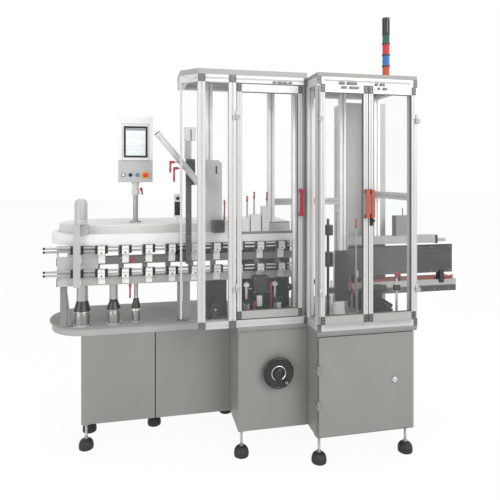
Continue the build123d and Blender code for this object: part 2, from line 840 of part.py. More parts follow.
bore_radius = handwheel_shaft_diameter / 2 + pin_gap
hub_radius = handwheel_hub_diameter / 2
hub_half = handwheel_hub_length / 2
disc_half = handwheel_disc / 2
rim_half = handwheel_rim / 2
rim_radius = handwheel_diameter / 2 - rim_half
rim_side = rim_half * tan(radians(rim_facet_angle / 2))
rim_foot = rim_radius - rim_side - (rim_half - disc_half)
with BuildPart() as handwheel:
    with BuildSketch(Plane(origin=(handwheel_x, wheel_y, handwheel_height), x_dir=(1, 0, 0),
                           z_dir=(0, 0, 1))):
        with BuildLine():
            Polyline((bore_radius, hub_half), (hub_radius, hub_half), (hub_radius, disc_half),
                     (rim_foot, disc_half), (rim_radius - rim_side, rim_half),
                     (rim_radius + rim_side, rim_half),
                     (rim_radius + rim_half, rim_side), (rim_radius + rim_half, -rim_side),
                     (rim_radius + rim_side, -rim_half), (rim_radius - rim_side, -rim_half),
                     (rim_foot, -disc_half), (hub_radius, -disc_half), (hub_radius, -hub_half),
                     (bore_radius, -hub_half), close=True)
        make_face()
    revolve(axis=Axis((handwheel_x, wheel_y, handwheel_height), (0, 1, 0)))
write(handwheel, "handwheel")

knob_reach = rim_radius - handwheel_knob_inset
knob_x = handwheel_x + knob_reach * cos(radians(handwheel_knob_angle))
knob_height = handwheel_height + knob_reach * sin(radians(handwheel_knob_angle))
with BuildPart() as handwheel_knob:
    with BuildSketch(Plane(origin=(knob_x, wheel_y - disc_half, knob_height), x_dir=(1, 0, 0),
                           z_dir=(0, -1, 0))):
        Circle(handwheel_knob_diameter / 2)
    extrude(amount=handwheel_knob_length)
    chamfer(handwheel_knob.edges().group_by(Axis.Y)[0], handwheel_knob_diameter / 4)
write(handwheel_knob, "handwheel_knob")

# Electrical enclosure
with BuildPart() as electrical_enclosure:
    block(enclosure_left, enclosure_right, enclosure_front, cabinet_rear, guard_base, enclosure_top)
    chamfer(electrical_enclosure.edges().filter_by(Axis.Z), cabinet_edge)
write(electrical_enclosure, "electrical_enclosure")

# Signal tower: a stem with rings between four lenses and a cap
tower_ring_height = tower_lens_pitch - tower_lens_height
cap_low = tower_top - tower_cap_height
lens_low = cap_low - tower_lens_count * tower_lens_pitch + tower_ring_height
with BuildPart() as signal_tower_body:
    upright(tower_x, tower_y, guard_top, guard_top + tower_flange_thickness, tower_flange_diameter)
    upright(tower_x, tower_y, guard_top, lens_low, tower_diameter)
    upright(tower_x, tower_y, guard_top, cap_low, tower_core_diameter)
    for step in range(1, tower_lens_count):
        low = lens_low + step * tower_lens_pitch - tower_ring_height
        upright(tower_x, tower_y, low, low + tower_ring_height, tower_diameter + tower_step)
    upright(tower_x, tower_y, cap_low, tower_top, tower_diameter)
    chamfer(signal_tower_body.edges().group_by(Axis.Z)[-1], cabinet_edge)
write(signal_tower_body, "signal_tower_body")

with BuildPart() as signal_tower_lenses:
    for step in range(tower_lens_count):
        low = lens_low + step * tower_lens_pitch
        upright(tower_x, tower_y, low, low + tower_lens_height, tower_diameter - tower_step)
        upright(tower_x, tower_y, low, low + tower_lens_height, tower_core_diameter + 2 * seat_gap,
                Mode.SUBTRACT)
write(signal_tower_lenses, "signal_tower_lenses")


def loop_outline(left, right, front, rear):
    """Conveyor outline: straight to the right end and round at the left one."""
    radius = (rear - front) / 2
    with BuildSketch() as outline:
        with BuildLine():
            Line((left + radius, front), (right, front))
            Line((right, front), (right, rear))
            Line((right, rear), (left + radius, rear))
            RadiusArc((left + radius, rear), (left, front + radius), -radius)
            RadiusArc((left, front + radius), (left + radius, front), -radius)
        make_face()
    return outline.sketch


# Conveyor cover and the band under it
with BuildPart() as conveyor_cover:
    with BuildSketch(Plane.XY.offset(cover_bottom)):
        add(loop_outline(cover_left, conveyor_right, cover_front, cover_rear))
    extrude(amount=cover_top - cover_bottom)
    chamfer(conveyor_cover.faces().sort_by(Axis.Z)[-1].edges().sort_by(Axis.X)[:-1], cover_edge)
write(conveyor_cover, "conveyor_cover")

with BuildPart() as bucket_band:
    with BuildSketch(Plane.XY.offset(band_bottom)):
        add(loop_outline(conveyor_left, conveyor_right, conveyor_front, band_rear))
    extrude(amount=cover_bottom - band_bottom)
write(bucket_band, "bucket_band")

# Beams under the band and the spacers between them
beam_rear = beam_front + beam_depth
with BuildPart() as conveyor_beams:
    block(beam_left, conveyor_right, beam_front, beam_rear, upper_beam_bottom, upper_beam_top)
    block(beam_left, conveyor_right, beam_front, beam_rear, lower_beam_bottom, lower_beam_top)
write(conveyor_beams, "conveyor_beams")

with BuildPart() as beam_spacers:
    for step in range(spacer_count):
        x = spacer_first + step * spacer_pitch
        block(x, x + spacer_width, beam_front + spacer_inset, beam_rear - spacer_inset, lower_beam_top,
              upper_beam_bottom)
        block(x, x + spacer_width, beam_front + spacer_inset, beam_rear - spacer_inset, upper_beam_top,
              band_bottom)
    for z_low, z_high in ((lower_beam_top, upper_beam_bottom), (upper_beam_top, band_bottom)):
        block(beam_left, end_plate_right, beam_front, beam_front + spacer_inset, z_low, z_high)
    window_low = upper_beam_top + end_window_rise
    block(end_window_left, end_window_right, beam_front, beam_front + spacer_inset, window_low,
          window_low + end_window_height, Mode.SUBTRACT)
write(beam_spacers, "beam_spacers")

# Guide rails in pairs, carried in clamps that are open at the top
rail_y = clamp_front + clamp_depth / 2
rail_half = rail_diameter / 2
with BuildPart() as guide_rails:
    for height in (upper_rail_height, lower_rail_height):
        for z in (height - rail_spacing / 2, height + rail_spacing / 2):
            with Locations(((rail_left + rail_right) / 2, rail_y, z)):
                Cylinder(rail_half, rail_right - rail_left, rotation=(0, 90, 0))
write(guide_rails, "guide_rails")

clamp_xs = [clamp_first + step * clamp_pitch for step in range(clamp_count)]
clamp_rows = [(upper_rail_height, upper_beam_bottom), (lower_rail_height, lower_beam_bottom)]
channel_half = rail_half + seat_gap


def rod_channel(height, top):
    """Cuts the way for a pair of guide rods through what has been made."""
    block(rail_left, rail_right, rail_y - channel_half, rail_y + channel_half,
          height - rail_spacing / 2 - channel_half, height + top, Mode.SUBTRACT)


with BuildPart() as rail_clamps:
    for height, beam_low in clamp_rows:
        for x in clamp_xs:
            block(x - clamp_width / 2, x + clamp_width / 2, clamp_front, clamp_front + clamp_depth,
                  height - clamp_below, height + clamp_above)
            block(x - clamp_width / 2, x + clamp_width / 2, beam_front - clamp_plate, beam_front,
                  beam_low + clamp_plate_rise, height + clamp_above)
        rod_channel(height, clamp_above)
write(rail_clamps, "rail_clamps")

with BuildPart() as rail_collars:
    for height, beam_low in clamp_rows:
        for x in clamp_xs:
            for side in (-1, 1):
                centre = x + side * (clamp_width + collar_length) / 2
                block(centre - collar_length / 2, centre + collar_length / 2, rail_y - collar_depth / 2,
                      rail_y + collar_depth / 2, height - collar_below, height + collar_above)
        rod_channel(height, collar_above)
write(rail_collars, "rail_collars")

# Columns that carry the conveyor from the table
with BuildPart() as support_columns:
    for x, column, collar, foot, cone_low, cone_high in columns:
        foot_top = table_top + column_foot_height
        sleeve = (column + column_sleeve) / 2
        with BuildSketch(Plane(origin=(x, column_y, 0), x_dir=(1, 0, 0), z_dir=(0, -1, 0))):
            with BuildLine():
                Polyline((0, table_top), (foot / 2, table_top), (foot / 2, foot_top), (sleeve, foot_top),
                         (sleeve, cone_low), (collar / 2, cone_low), (column / 2, cone_high),
                         (column / 2, lower_beam_bottom), (0, lower_beam_bottom), close=True)
            make_face()
        revolve(axis=Axis((x, column_y, 0), (0, 0, 1)))
write(support_columns, "support_columns")

# Square post with a gusset near the conveyor's end
post_right = front_post_x + front_post_width
with BuildPart() as gusset_post:
    block(front_post_x, post_right, 0, front_post_width, table_top, lower_beam_bottom)
    with BuildSketch(Plane.XZ.offset(-gusset_setback)):
        with BuildLine():
            Polyline((post_right, table_top), (post_right + gusset_reach, table_top),
                     (post_right, lower_beam_bottom - gusset_drop), close=True)
        make_face()
    extrude(amount=-gusset_thickness)
    for leg_left, leg_right in leg_limits:
        block(leg_left, leg_right, 0, leg_depth, table_top, lower_beam_bottom)
write(gusset_post, "gusset_post")

# Drive cap, its box, and the arm and strip that come down in front of the first clamps
drive_box_top = drive_cap_bottom - drive_flange_height
strip_front = clamp_front - drive_strip_thickness
with BuildPart() as drive_cap:
    block(drive_cap_x - drive_box_half, drive_cap_x + drive_box_half, conveyor_front, drive_box_rear,
          cover_bottom, drive_box_top)
    block(drive_arm_left, drive_arm_right, strip_front, conveyor_front, cover_bottom, drive_box_top)
    block(drive_arm_left, drive_arm_right, strip_front, clamp_front, drive_strip_bottom, cover_bottom)
    with BuildSketch(Plane(origin=(drive_cap_x, drive_cap_y, 0), x_dir=(1, 0, 0), z_dir=(0, -1, 0))):
        with BuildLine():
            Polyline((0, drive_box_top), (drive_cap_diameter / 2, drive_box_top),
                     (drive_cap_diameter / 2, drive_cap_shoulder),
                     (drive_cap_slope_diameter / 2, drive_cap_slope_top),
                     (drive_cap_crown_diameter / 2, drive_cap_top), (0, drive_cap_top), close=True)
        make_face()
    revolve(axis=Axis((drive_cap_x, drive_cap_y, 0), (0, 0, 1)))
write(drive_cap, "drive_cap")

# Operator panel on its pole
with BuildPart() as panel_pole:
    upright(panel_x, panel_y, cover_top, cover_top + panel_foot_thickness, panel_foot_diameter)
    upright(panel_x, panel_y, cover_top, panel_neck_bottom + panel_pole_reach, panel_pole_diameter)
write(panel_pole, "panel_pole")

with BuildPart() as panel_neck:
    upright(panel_x, panel_y, panel_neck_bottom, panel_bottom, panel_neck_diameter)
    upright(panel_x, panel_y, panel_neck_bottom, panel_neck_bottom + panel_pole_reach + panel_bore_end,
            panel_pole_diameter + 2 * pin_gap, Mode.SUBTRACT)
    chamfer(panel_neck.edges().group_by(Axis.Z)[0].sort_by(SortBy.RADIUS)[-1], panel_neck_edge)
write(panel_neck, "panel_neck")

panel_front = panel_y - panel_depth / 2
with BuildPart() as panel_housing:
    block(panel_x - panel_width / 2, panel_x + panel_width / 2, panel_front, panel_front + panel_depth,
          panel_bottom, panel_top)
    chamfer(panel_housing.edges().filter_by(Axis.Y), panel_edge)
    block(panel_x - screen_width / 2, panel_x + screen_width / 2, panel_front, panel_front + screen_pocket,
          screen_bottom, screen_bottom + screen_height, Mode.SUBTRACT)
write(panel_housing, "panel_housing")

with BuildPart() as panel_screen:
    block(panel_x - screen_width / 2, panel_x + screen_width / 2, panel_front + screen_setback,
          panel_front + screen_pocket, screen_bottom, screen_bottom + screen_height)
write(panel_screen, "panel_screen")


def button(offset_x, diameter, rise_low, rise_high):
    """Round button on the operator panel's front, between two distances from it."""
    with Locations((panel_x + offset_x, panel_front - (rise_low + rise_high) / 2, button_height)):
        Cylinder(diameter / 2, rise_high - rise_low, rotation=(90, 0, 0))


with BuildPart() as panel_buttons:
    for offset_x in button_offsets:
        button(offset_x, button_diameter, 0, button_rise)
    button(stop_offset, stop_plate_diameter, 0, stop_plate_thickness)
    button(stop_offset, stop_diameter, stop_plate_thickness, stop_rise)
write(panel_buttons, "panel_buttons")

lever_height = panel_neck_bottom + panel_pole_reach
lever_hub_x = panel_x + panel_neck_diameter / 2 + lever_hub_length / 2
with BuildPart() as panel_lever:
    with Locations((lever_hub_x, panel_y, lever_height)):
        Cylinder(lever_hub_diameter / 2, lever_hub_length, rotation=(0, 90, 0))
    upright(lever_hub_x + lever_hub_diameter / 2, panel_y, lever_height - lever_grip_length, lever_height,
            lever_grip_diameter)
write(panel_lever, "panel_lever")

# Carton magazine: a sloping beam held by an upright
slope = atan2(magazine_top_height - magazine_bottom_height, magazine_top_x - magazine_bottom_x)
magazine_length = hypot(magazine_top_height - magazine_bottom_height, magazine_top_x - magazine_bottom_x)
slope_plane = Plane(origin=(magazine_bottom_x, magazine_y, magazine_bottom_height),
                    x_dir=(0, 1, 0), z_dir=(cos(slope), 0, sin(slope)))
with BuildPart() as magazine_beam:
    with BuildSketch(slope_plane):
        Rectangle(magazine_beam_depth, magazine_beam_height)
    extrude(amount=magazine_length)
write(magazine_beam, "magazine_beam")

magazine_front = magazine_y - magazine_beam_depth / 2
magazine_back = magazine_y + magazine_beam_depth / 2
upright_front = magazine_back + magazine_bracket_thickness
with BuildPart() as magazine_upright:
    block(upright_x - upright_width / 2, upright_x + upright_width / 2, upright_front,
          upright_front + upright_depth, upper_beam_bottom, upright_top)
    block(upright_x - upright_width / 2, upright_x + upright_width / 2, upright_front, beam_front,
          upper_beam_bottom, upper_beam_top)
write(magazine_upright, "magazine_upright")

with BuildPart() as magazine_plate:
    block(magazine_plate_left, magazine_plate_right, conveyor_front,
          conveyor_front + magazine_plate_thickness, cover_bottom, magazine_plate_top)
    chamfer(magazine_plate.edges().filter_by(Axis.Y).group_by(Axis.Z)[-1].sort_by(Axis.X)[-1],
            magazine_plate_corner)
    block(magazine_slot_left, magazine_slot_right, conveyor_front,
          conveyor_front + magazine_plate_thickness, magazine_slot_bottom, magazine_slot_top,
          Mode.SUBTRACT)
write(magazine_plate, "magazine_plate")

# Pale format blocks that stand on the band, a sensor housing on its stem, the plate on top of the
# magazine's upright, and the opener's cone
housing_rear = housing_front + housing_depth
format_front = conveyor_front + format_inset
format_rear = cover_front - 4 * format_inset
format_limits = [
    (-110.0, -49.0, format_front, format_rear, cover_bottom, 1312.0),
    (-165.0, -118.0, format_front, format_rear, cover_bottom, 1290.0),
    (-40.0, 2.0, format_front, format_rear, cover_bottom, 1360.0),
    (-282.0, -250.0, format_front, format_rear, cover_bottom, 1280.0),
    (-559.0, -517.0, housing_front, housing_rear, 1299.0, 1436.0),
    (-545.0, -531.0, housing_front, housing_front + housing_stem_depth, cover_top, 1299.0),
    (-513.0, -444.0, magazine_back, upright_front, 1740.0, 1819.0),
]
with BuildPart() as format_blocks:
    blocks(format_limits)
    with BuildSketch(Plane(origin=(opener_plate_x, opener_plate_y, 0), x_dir=(1, 0, 0),
                           z_dir=(0, -1, 0))) as cone:
        with BuildLine():
            Polyline((0, guard_base), (pedestal_base_diameter / 2, guard_base),
                     (pedestal_top_diameter / 2, pedestal_top), (0, pedestal_top), close=True)
        make_face()
    revolve(cone.sketch, axis=Axis((opener_plate_x, opener_plate_y, 0), (0, 0, 1)))
write(format_blocks, "format_blocks")

# Steel rods of the format blocks and of the carton opener: centre, ends and diameter
format_y = (format_front + format_rear) / 2
rod_list = [
    (-128.0, format_y, 1290.0, 1390.0, 10.0),
    (-85.0, format_y, 1312.0, 1405.0, 10.0),
    (-6.0, format_y, 1360.0, 1395.0, 10.0),
    (383.0, opener_y, guard_base, 1332.0, 12.0),
    (444.0, opener_y, guard_base, 1301.0, 12.0),
    (502.0, opener_y, guard_base, 1232.0, 10.0),
    (476.0, opener_y, guard_base, 840.0, 10.0),
    (-507.0, (magazine_back + upright_front) / 2, 1640.0, 1740.0, 6.0),
]
with BuildPart() as format_rods:
    for x, y, z_low, z_high, diameter in rod_list:
        upright(x, y, z_low, z_high, diameter)
write(format_rods, "format_rods")

# Clamping levers, each seated on a rod, a block or a plate
lever_half = lever_depth / 2
lever_front = magazine_front - lever_depth
knob_left = clamp_xs[2] + clamp_width / 2 + seat_gap
lever_limits = [
    (-135.0, -121.0, format_y - lever_half, format_y + lever_half, 1390.0, 1424.0),
    (-92.0, -78.0, format_y - lever_half, format_y + lever_half, 1405.0, 1448.0),
    (-13.0, 1.0, format_y - lever_half, format_y + lever_half, 1395.0, 1446.0),
    (-273.0, -259.0, format_y - lever_half, format_y + lever_half, 1280.0, 1402.0),
    (495.0, 509.0, opener_y - lever_half, opener_y + lever_half, 1232.0, 1286.0),
    (459.0, 491.0, opener_y - lever_half, opener_y + lever_half, 840.0, 923.0),
    (-598.0, -586.0, lever_front, magazine_front, 1559.0, 1626.0),
    (-586.0, -532.0, lever_front, magazine_front, 1614.0, 1626.0),
    (-577.0, -565.0, lever_front, magazine_front, 1508.0, 1592.0),
    (-565.0, -505.0, lever_front, magazine_front, 1580.0, 1592.0),
    (-121.0, -107.0, -150.0, -136.0, guard_base, 825.0),
    (-23.0, -11.0, -150.0, -136.0, guard_base, 930.0),
    (knob_left, knob_left + clamp_width, clamp_front, beam_front, 1057.0, upper_beam_top),
    (1190.0, belt_right, outfeed_front, belt_front, outfeed_top, 895.0),
]
with BuildPart() as clamp_levers:
    blocks(lever_limits)
write(clamp_levers, "clamp_levers")

# Dark pieces: brackets on the guard posts and the magazine, the drive on its column with a plate
# behind it, the outfeed's brackets and legs, and the carton opener
outfeed_rear = outfeed_front + outfeed_depth
frame_left = outfeed_left - frame_overhang
plate_rear = outfeed_front + side_plate_thickness
bracket_front = left_guard_front - bracket_thickness
bracket_rear = belt_front - belt_gap
beam_box_left = clamp_xs[4] + clamp_width / 2 + collar_length + belt_gap
front_bracket = outfeed_front - magazine_bracket_thickness
end_bracket_right = top_beam_right + end_bracket_width
strip_rear = beam_rear - belt_gap
strip_near = strip_rear - drive_strip_thickness
back_plate_rear = back_plate_front + back_plate_thickness
leg_rear = belt_rear - belt_gap
dark_limits = [
    (-503.0, -449.0, magazine_back, upright_front, 1491.0, 1638.0),
    (-349.0, -281.0, magazine_y, conveyor_front, 1217.0, 1287.0),
    (beam_box_left, beam_box_left + beam_box_width, clamp_front, beam_front, 1050.0, 1108.0),
    (-112.0, -22.0, -120.0, -60.0, 864.0, 958.0),
    (-80.0, -50.0, -105.0, -75.0, guard_base, 864.0),
    (-228.0, conveyor_right, back_plate_front, back_plate_rear, guard_base, lower_beam_bottom),
    (-420.0, -244.0, back_plate_front, back_plate_rear, table_top, lower_beam_bottom),
    (-382.0, -356.0, beam_front, column_y, table_top, lower_beam_bottom),
    (-398.0, conveyor_right, strip_near, strip_rear, upper_beam_top, band_bottom),
    (540.0, 570.0, plate_rear, bracket_rear, outfeed_top, 960.0),
    (850.0, 880.0, plate_rear, bracket_rear, outfeed_top, 960.0),
    (1140.0, 1180.0, plate_rear, bracket_rear, outfeed_top, 960.0),
    (1150.0, 1180.0, front_bracket, outfeed_front, 850.0, 930.0),
    (545.0, 585.0, outfeed_front, leg_rear, guard_base, outfeed_bottom),
    (665.0, 705.0, outfeed_front, leg_rear, guard_base, outfeed_bottom),
    (top_beam_right, end_bracket_right, outfeed_front, 15.0, 1105.0, top_beam_top),
]
with BuildPart() as machine_brackets:
    blocks(dark_limits)
    for z in (guard_base, left_top_rail):
        for post_x in (left_guard_left, left_door_post):
            block(post_x, post_x + profile, bracket_front, left_guard_front, z, z + profile)
        block(guard_split - profile / 2, guard_split, bracket_front, left_guard_front, z, z + profile)
    for z in (guard_base, top_rail):
        for post_x in (guard_split, guard_right - profile / 2):
            block(post_x, post_x + profile / 2, right_guard_front - bracket_thickness,
                  right_guard_front, z, z + profile)
    block(opener_plate_left, opener_plate_right, opener_plate_y, opener_plate_y + opener_plate_thickness,
          pedestal_top, opener_plate_top)
    upright(wheel_x, opener_y, guard_base, wheel_shaft_top, wheel_shaft_diameter)
    for wheel_low, wheel_high in wheel_rows:
        upright(wheel_x, opener_y, wheel_low, wheel_high, wheel_diameter)
    with BuildSketch(Plane(origin=(0, ramp_front, 0), x_dir=(1, 0, 0), z_dir=(0, -1, 0))) as ramp:
        with BuildLine():
            Polyline((ramp_left, guard_base), (ramp_right, guard_base), (ramp_right, ramp_low),
                     (ramp_left, ramp_high), close=True)
        make_face()
    extrude(ramp.sketch, amount=-ramp_width)
write(machine_brackets, "machine_brackets")

# Outfeed conveyor, its belt, side plate and top beam
with BuildPart() as outfeed_frame:
    block(frame_left, outfeed_right, outfeed_front, outfeed_rear, outfeed_bottom, outfeed_top)
    block(frame_left, outfeed_right, outfeed_front, outfeed_front + outfeed_groove_depth,
          outfeed_groove_low, outfeed_groove_high, Mode.SUBTRACT)
write(outfeed_frame, "outfeed_frame")

with BuildPart() as outfeed_belt:
    block(outfeed_left, belt_right, belt_front, belt_rear, outfeed_top, outfeed_top + belt_thickness)
write(outfeed_belt, "outfeed_belt")

with BuildPart() as outfeed_side_plate:
    block(outfeed_left, side_plate_right, outfeed_front, plate_rear, side_plate_bottom, side_plate_top)
write(outfeed_side_plate, "outfeed_side_plate")

# Top beam with a box and its short aerial, and the bar at the beam's end
with BuildPart() as outfeed_top_beam:
    block(middle_rear_post_x + profile, top_beam_right, outfeed_front, guard_rear,
          top_beam_bottom, top_beam_top)
    block(sensor_left, sensor_right, outfeed_front, guard_rear, top_beam_top, sensor_top)
    upright(aerial_x, (outfeed_front + guard_rear) / 2, sensor_top, aerial_top, aerial_diameter)
    block(end_bracket_right, end_bar_right, plate_rear, plate_rear + end_bar_width,
          side_plate_top + end_bar_width, side_plate_top + 2 * end_bar_width)
write(outfeed_top_beam, "outfeed_top_beam")
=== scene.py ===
"""Looks of the automatic cartoner: materials, fine pieces, camera and light.

The scene is in metres. Forms are written in millimetres, and make() turns them into metres.
"""
import math

import bmesh
import bpy
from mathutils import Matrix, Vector


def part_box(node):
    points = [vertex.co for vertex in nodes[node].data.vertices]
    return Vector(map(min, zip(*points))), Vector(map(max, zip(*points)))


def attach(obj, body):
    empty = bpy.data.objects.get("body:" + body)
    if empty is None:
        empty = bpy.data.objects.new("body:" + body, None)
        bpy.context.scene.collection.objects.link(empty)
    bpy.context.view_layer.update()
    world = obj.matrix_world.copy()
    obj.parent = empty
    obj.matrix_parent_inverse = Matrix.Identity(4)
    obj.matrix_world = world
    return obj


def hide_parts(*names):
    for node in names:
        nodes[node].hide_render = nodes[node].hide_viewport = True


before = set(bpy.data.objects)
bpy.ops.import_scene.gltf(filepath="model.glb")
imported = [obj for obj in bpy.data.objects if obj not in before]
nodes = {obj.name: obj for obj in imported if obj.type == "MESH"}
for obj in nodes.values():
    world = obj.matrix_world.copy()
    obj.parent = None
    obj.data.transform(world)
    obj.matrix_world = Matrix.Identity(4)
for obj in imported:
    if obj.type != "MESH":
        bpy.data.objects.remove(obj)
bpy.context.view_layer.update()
scene = bpy.context.scene
BASE = "machine_base"


# ---- materials
def new_material(name):
    """Empty node material with a Principled shader; returns material, node tree and shader."""
    material = bpy.data.materials.new(name)
    material.use_nodes = True
    tree = material.node_tree
    shader = tree.nodes["Principled BSDF"]
    return material, tree, shader


def place(tree, stretch=(1, 1, 1)):
    """Object coordinates, scaled per axis."""
    coordinates = tree.nodes.new("ShaderNodeTexCoord")
    mapping = tree.nodes.new("ShaderNodeMapping")
    mapping.inputs["Scale"].default_value = stretch
    tree.links.new(coordinates.outputs["Object"], mapping.inputs["Vector"])
    return mapping.outputs["Vector"]


def noise(tree, vector, scale, detail=3.0):
    texture = tree.nodes.new("ShaderNodeTexNoise")
    texture.inputs["Scale"].default_value = scale
    texture.inputs["Detail"].default_value = detail
    tree.links.new(vector, texture.inputs["Vector"])
    return texture.outputs["Fac"]


def ramp(tree, value, stops, constant=False):
    """Colour ramp over a value; stops are (position, colour)."""
    node = tree.nodes.new("ShaderNodeValToRGB")
    if constant:
        node.color_ramp.interpolation = "CONSTANT"
    elements = node.color_ramp.elements
    while len(elements) < len(stops):
        elements.new(0.5)
    for element, (position, colour) in zip(elements, stops):
        element.position = position
        element.color = (*colour, 1.0)
    tree.links.new(value, node.inputs["Fac"])
    return node.outputs["Color"]


def bump(tree, shader, height, strength, distance):
    node = tree.nodes.new("ShaderNodeBump")
    node.inputs["Strength"].default_value = strength
    node.inputs["Distance"].default_value = distance
    tree.links.new(height, node.inputs["Height"])
    tree.links.new(node.outputs["Normal"], shader.inputs["Normal"])


def between(tree, value, low, high):
    """Value from 0..1 set between two others."""
    node = tree.nodes.new("ShaderNodeMapRange")
    node.inputs["To Min"].default_value = low
    node.inputs["To Max"].default_value = high
    tree.links.new(value, node.inputs["Value"])
    return node.outputs["Result"]


def tint(colour, factor):
    return tuple(min(1.0, c * factor) for c in colour)


def surface(name, colour, rough, metal=0.0, grain=40.0, spread=0.06, stretch=(1, 1, 1), relief=0.0002,
            fine=900.0, coat=0.0):
    """Material whose colour and roughness wander slowly, with a fine relief."""
    material, tree, shader = new_material(name)
    vector = place(tree, stretch)
    slow = noise(tree, vector, grain)
    tree.links.new(ramp(tree, slow, [(0.3, tint(colour, 1 - spread)), (0.7, tint(colour, 1 + spread))]),
                   shader.inputs["Base Color"])
    tree.links.new(between(tree, slow, rough - 0.10, rough + 0.10), shader.inputs["Roughness"])
    shader.inputs["Metallic"].default_value = metal
    if coat:
        shader.inputs["Coat Weight"].default_value = coat
        shader.inputs["Coat Roughness"].default_value = 0.12
    bump(tree, shader, noise(tree, vector, fine, 2.0), 0.25, relief)
    return material


GREY = surface("grey_paint", (0.200, 0.197, 0.185), 0.48, grain=5.0, spread=0.035, fine=700.0, relief=0.0003)
WHITE = surface("white_paint", (0.50, 0.50, 0.485), 0.42, grain=6.0, spread=0.03, fine=700.0)
TRAY = surface("tray_paint", (0.31, 0.307, 0.295), 0.48, grain=5.0, spread=0.035, fine=700.0, relief=0.0003)
PALE = surface("pale_plate", (0.43, 0.445, 0.425), 0.45, grain=8.0, spread=0.04)
ROOF = surface("roof_paint", (0.29, 0.29, 0.28), 0.45, grain=5.0, spread=0.03)
CABINET = surface("enclosure_paint", (0.41, 0.41, 0.40), 0.5, grain=5.0, spread=0.03)
PROFILE = surface("anodised_profile_with_painted_light_rear", (0.49, 0.49, 0.48), 0.38, metal=0.25, grain=30.0, spread=0.03,
                  stretch=(1, 1, 0.04), fine=400.0, relief=0.0001)
STEEL = surface("brushed_steel", (0.33, 0.33, 0.315), 0.36, metal=0.8, grain=60.0, spread=0.12,
                stretch=(0.05, 1, 1), fine=500.0)
CHROME = surface("bright_steel", (0.62, 0.62, 0.62), 0.24, metal=0.9, grain=80.0)
RAIL = surface("rail_steel", (0.40, 0.40, 0.39), 0.34, metal=0.75, grain=60.0, spread=0.10,
               stretch=(0.05, 1, 1))
RUBBER = surface("black_rubber", (0.012, 0.012, 0.0125), 0.62, spread=0.25, fine=1200.0)
BLACK = surface("black_plastic", (0.010, 0.011, 0.010), 0.32, spread=0.2, fine=1500.0)
# Grey of the groove strips, darker than the profiles: painted shade of the grooves.
GROOVE_SHADE_STRIP = surface("groove_shade_strip", (0.42, 0.42, 0.41), 0.60, spread=0.10, fine=1200.0)
SEAL = surface("pane_seal", (0.10, 0.10, 0.10), 0.65, spread=0.15, fine=1200.0)
LEG = surface("leg_paint", (0.185, 0.185, 0.175), 0.45, metal=0.1, grain=20.0)
SWITCH = surface("switch_plastic", (0.16, 0.16, 0.155), 0.5, spread=0.08, fine=1200.0)
SLEEVE = surface("sleeve_steel", (0.24, 0.24, 0.225), 0.32, metal=0.7, grain=90.0, spread=0.25,
                 stretch=(1, 1, 0.05), fine=600.0)
CORNER = surface("corner_plate", (0.075, 0.075, 0.072), 0.42, metal=0.2, grain=30.0, spread=0.10)
CAP_PAINT = surface("cap_paint", (0.355, 0.355, 0.345), 0.45, grain=8.0, spread=0.03)
SIDE = surface("side_plate_steel", (0.085, 0.085, 0.080), 0.38, metal=0.55, grain=60.0, spread=0.14,
               stretch=(0.05, 1, 1), fine=500.0)
SHELL = surface("band_shell", (0.62, 0.62, 0.605), 0.48, grain=10.0, spread=0.02)
DARK = surface("dark_bracket", (0.026, 0.028, 0.026), 0.42, metal=0.2, grain=30.0, spread=0.15)
CRIMSON = surface("crimson_plastic", (0.36, 0.012, 0.035), 0.36, grain=60.0, spread=0.10, fine=1400.0,
                  coat=0.15)
ORANGE = surface("orange_red_plastic", (0.33, 0.055, 0.030), 0.36, grain=60.0, spread=0.08, fine=1400.0,
                 coat=0.15)
PLASTIC = surface("white_plastic", (0.62, 0.62, 0.60), 0.50, grain=25.0, spread=0.03, fine=1200.0)
GREY_PLASTIC = surface("grey_plastic", (0.17, 0.17, 0.168), 0.45, grain=25.0, spread=0.05, fine=1200.0)
BELT = surface("belt_weave", (0.25, 0.085, 0.06), 0.75, grain=260.0, spread=0.20, fine=1600.0, relief=0.0006)
YELLOW = surface("yellow_plate", (0.75, 0.52, 0.03), 0.40, grain=60.0)
BLUE = surface("blue_button", (0.07, 0.24, 0.46), 0.32, grain=60.0, spread=0.10, coat=0.2)
STOP_RED = surface("stop_red", (0.62, 0.022, 0.014), 0.34, grain=60.0, spread=0.08, fine=1400.0, coat=0.15)
TILE = surface("screen_tile", (0.66, 0.70, 0.73), 0.25, grain=90.0, spread=0.04, relief=0.00005)
HEADER = surface("screen_header", (0.24, 0.27, 0.31), 0.25, grain=90.0, relief=0.00005)


def glass_material():
    """Clear pane, a little cloudy in places, mostly let through."""
    material, tree, shader = new_material("clear_pane")
    vector = place(tree)
    slow = noise(tree, vector, 3.0)
    tree.links.new(ramp(tree, slow, [(0.3, (0.50, 0.54, 0.54)), (0.7, (0.60, 0.64, 0.64))]),
                   shader.inputs["Base Color"])
    tree.links.new(between(tree, slow, 0.04, 0.09), shader.inputs["Roughness"])
    shader.inputs["Alpha"].default_value = 0.035
    return material


def object_place(tree, axis):
    """Object coordinates, and their part along one axis, in metres."""
    coordinates = tree.nodes.new("ShaderNodeTexCoord").outputs["Object"]
    parts = tree.nodes.new("ShaderNodeSeparateXYZ")
    tree.links.new(coordinates, parts.inputs["Vector"])
    return coordinates, parts.outputs[axis]


def banded(name, stops, rough, low, high, constant=True, metal=0.0):
    """Material whose colour changes with height between two levels, in metres."""
    material, tree, shader = new_material(name)
    coordinates, level = object_place(tree, "Z")
    span = tree.nodes.new("ShaderNodeMapRange")
    span.inputs["From Min"].default_value = low
    span.inputs["From Max"].default_value = high
    tree.links.new(level, span.inputs["Value"])
    tree.links.new(ramp(tree, span.outputs["Result"], stops, constant), shader.inputs["Base Color"])
    shader.inputs["Metallic"].default_value = metal
    slow = noise(tree, coordinates, 60.0)
    tree.links.new(between(tree, slow, rough - 0.06, rough + 0.06), shader.inputs["Roughness"])
    bump(tree, shader, noise(tree, coordinates, 900.0, 2.0), 0.2, 0.0002)
    return material


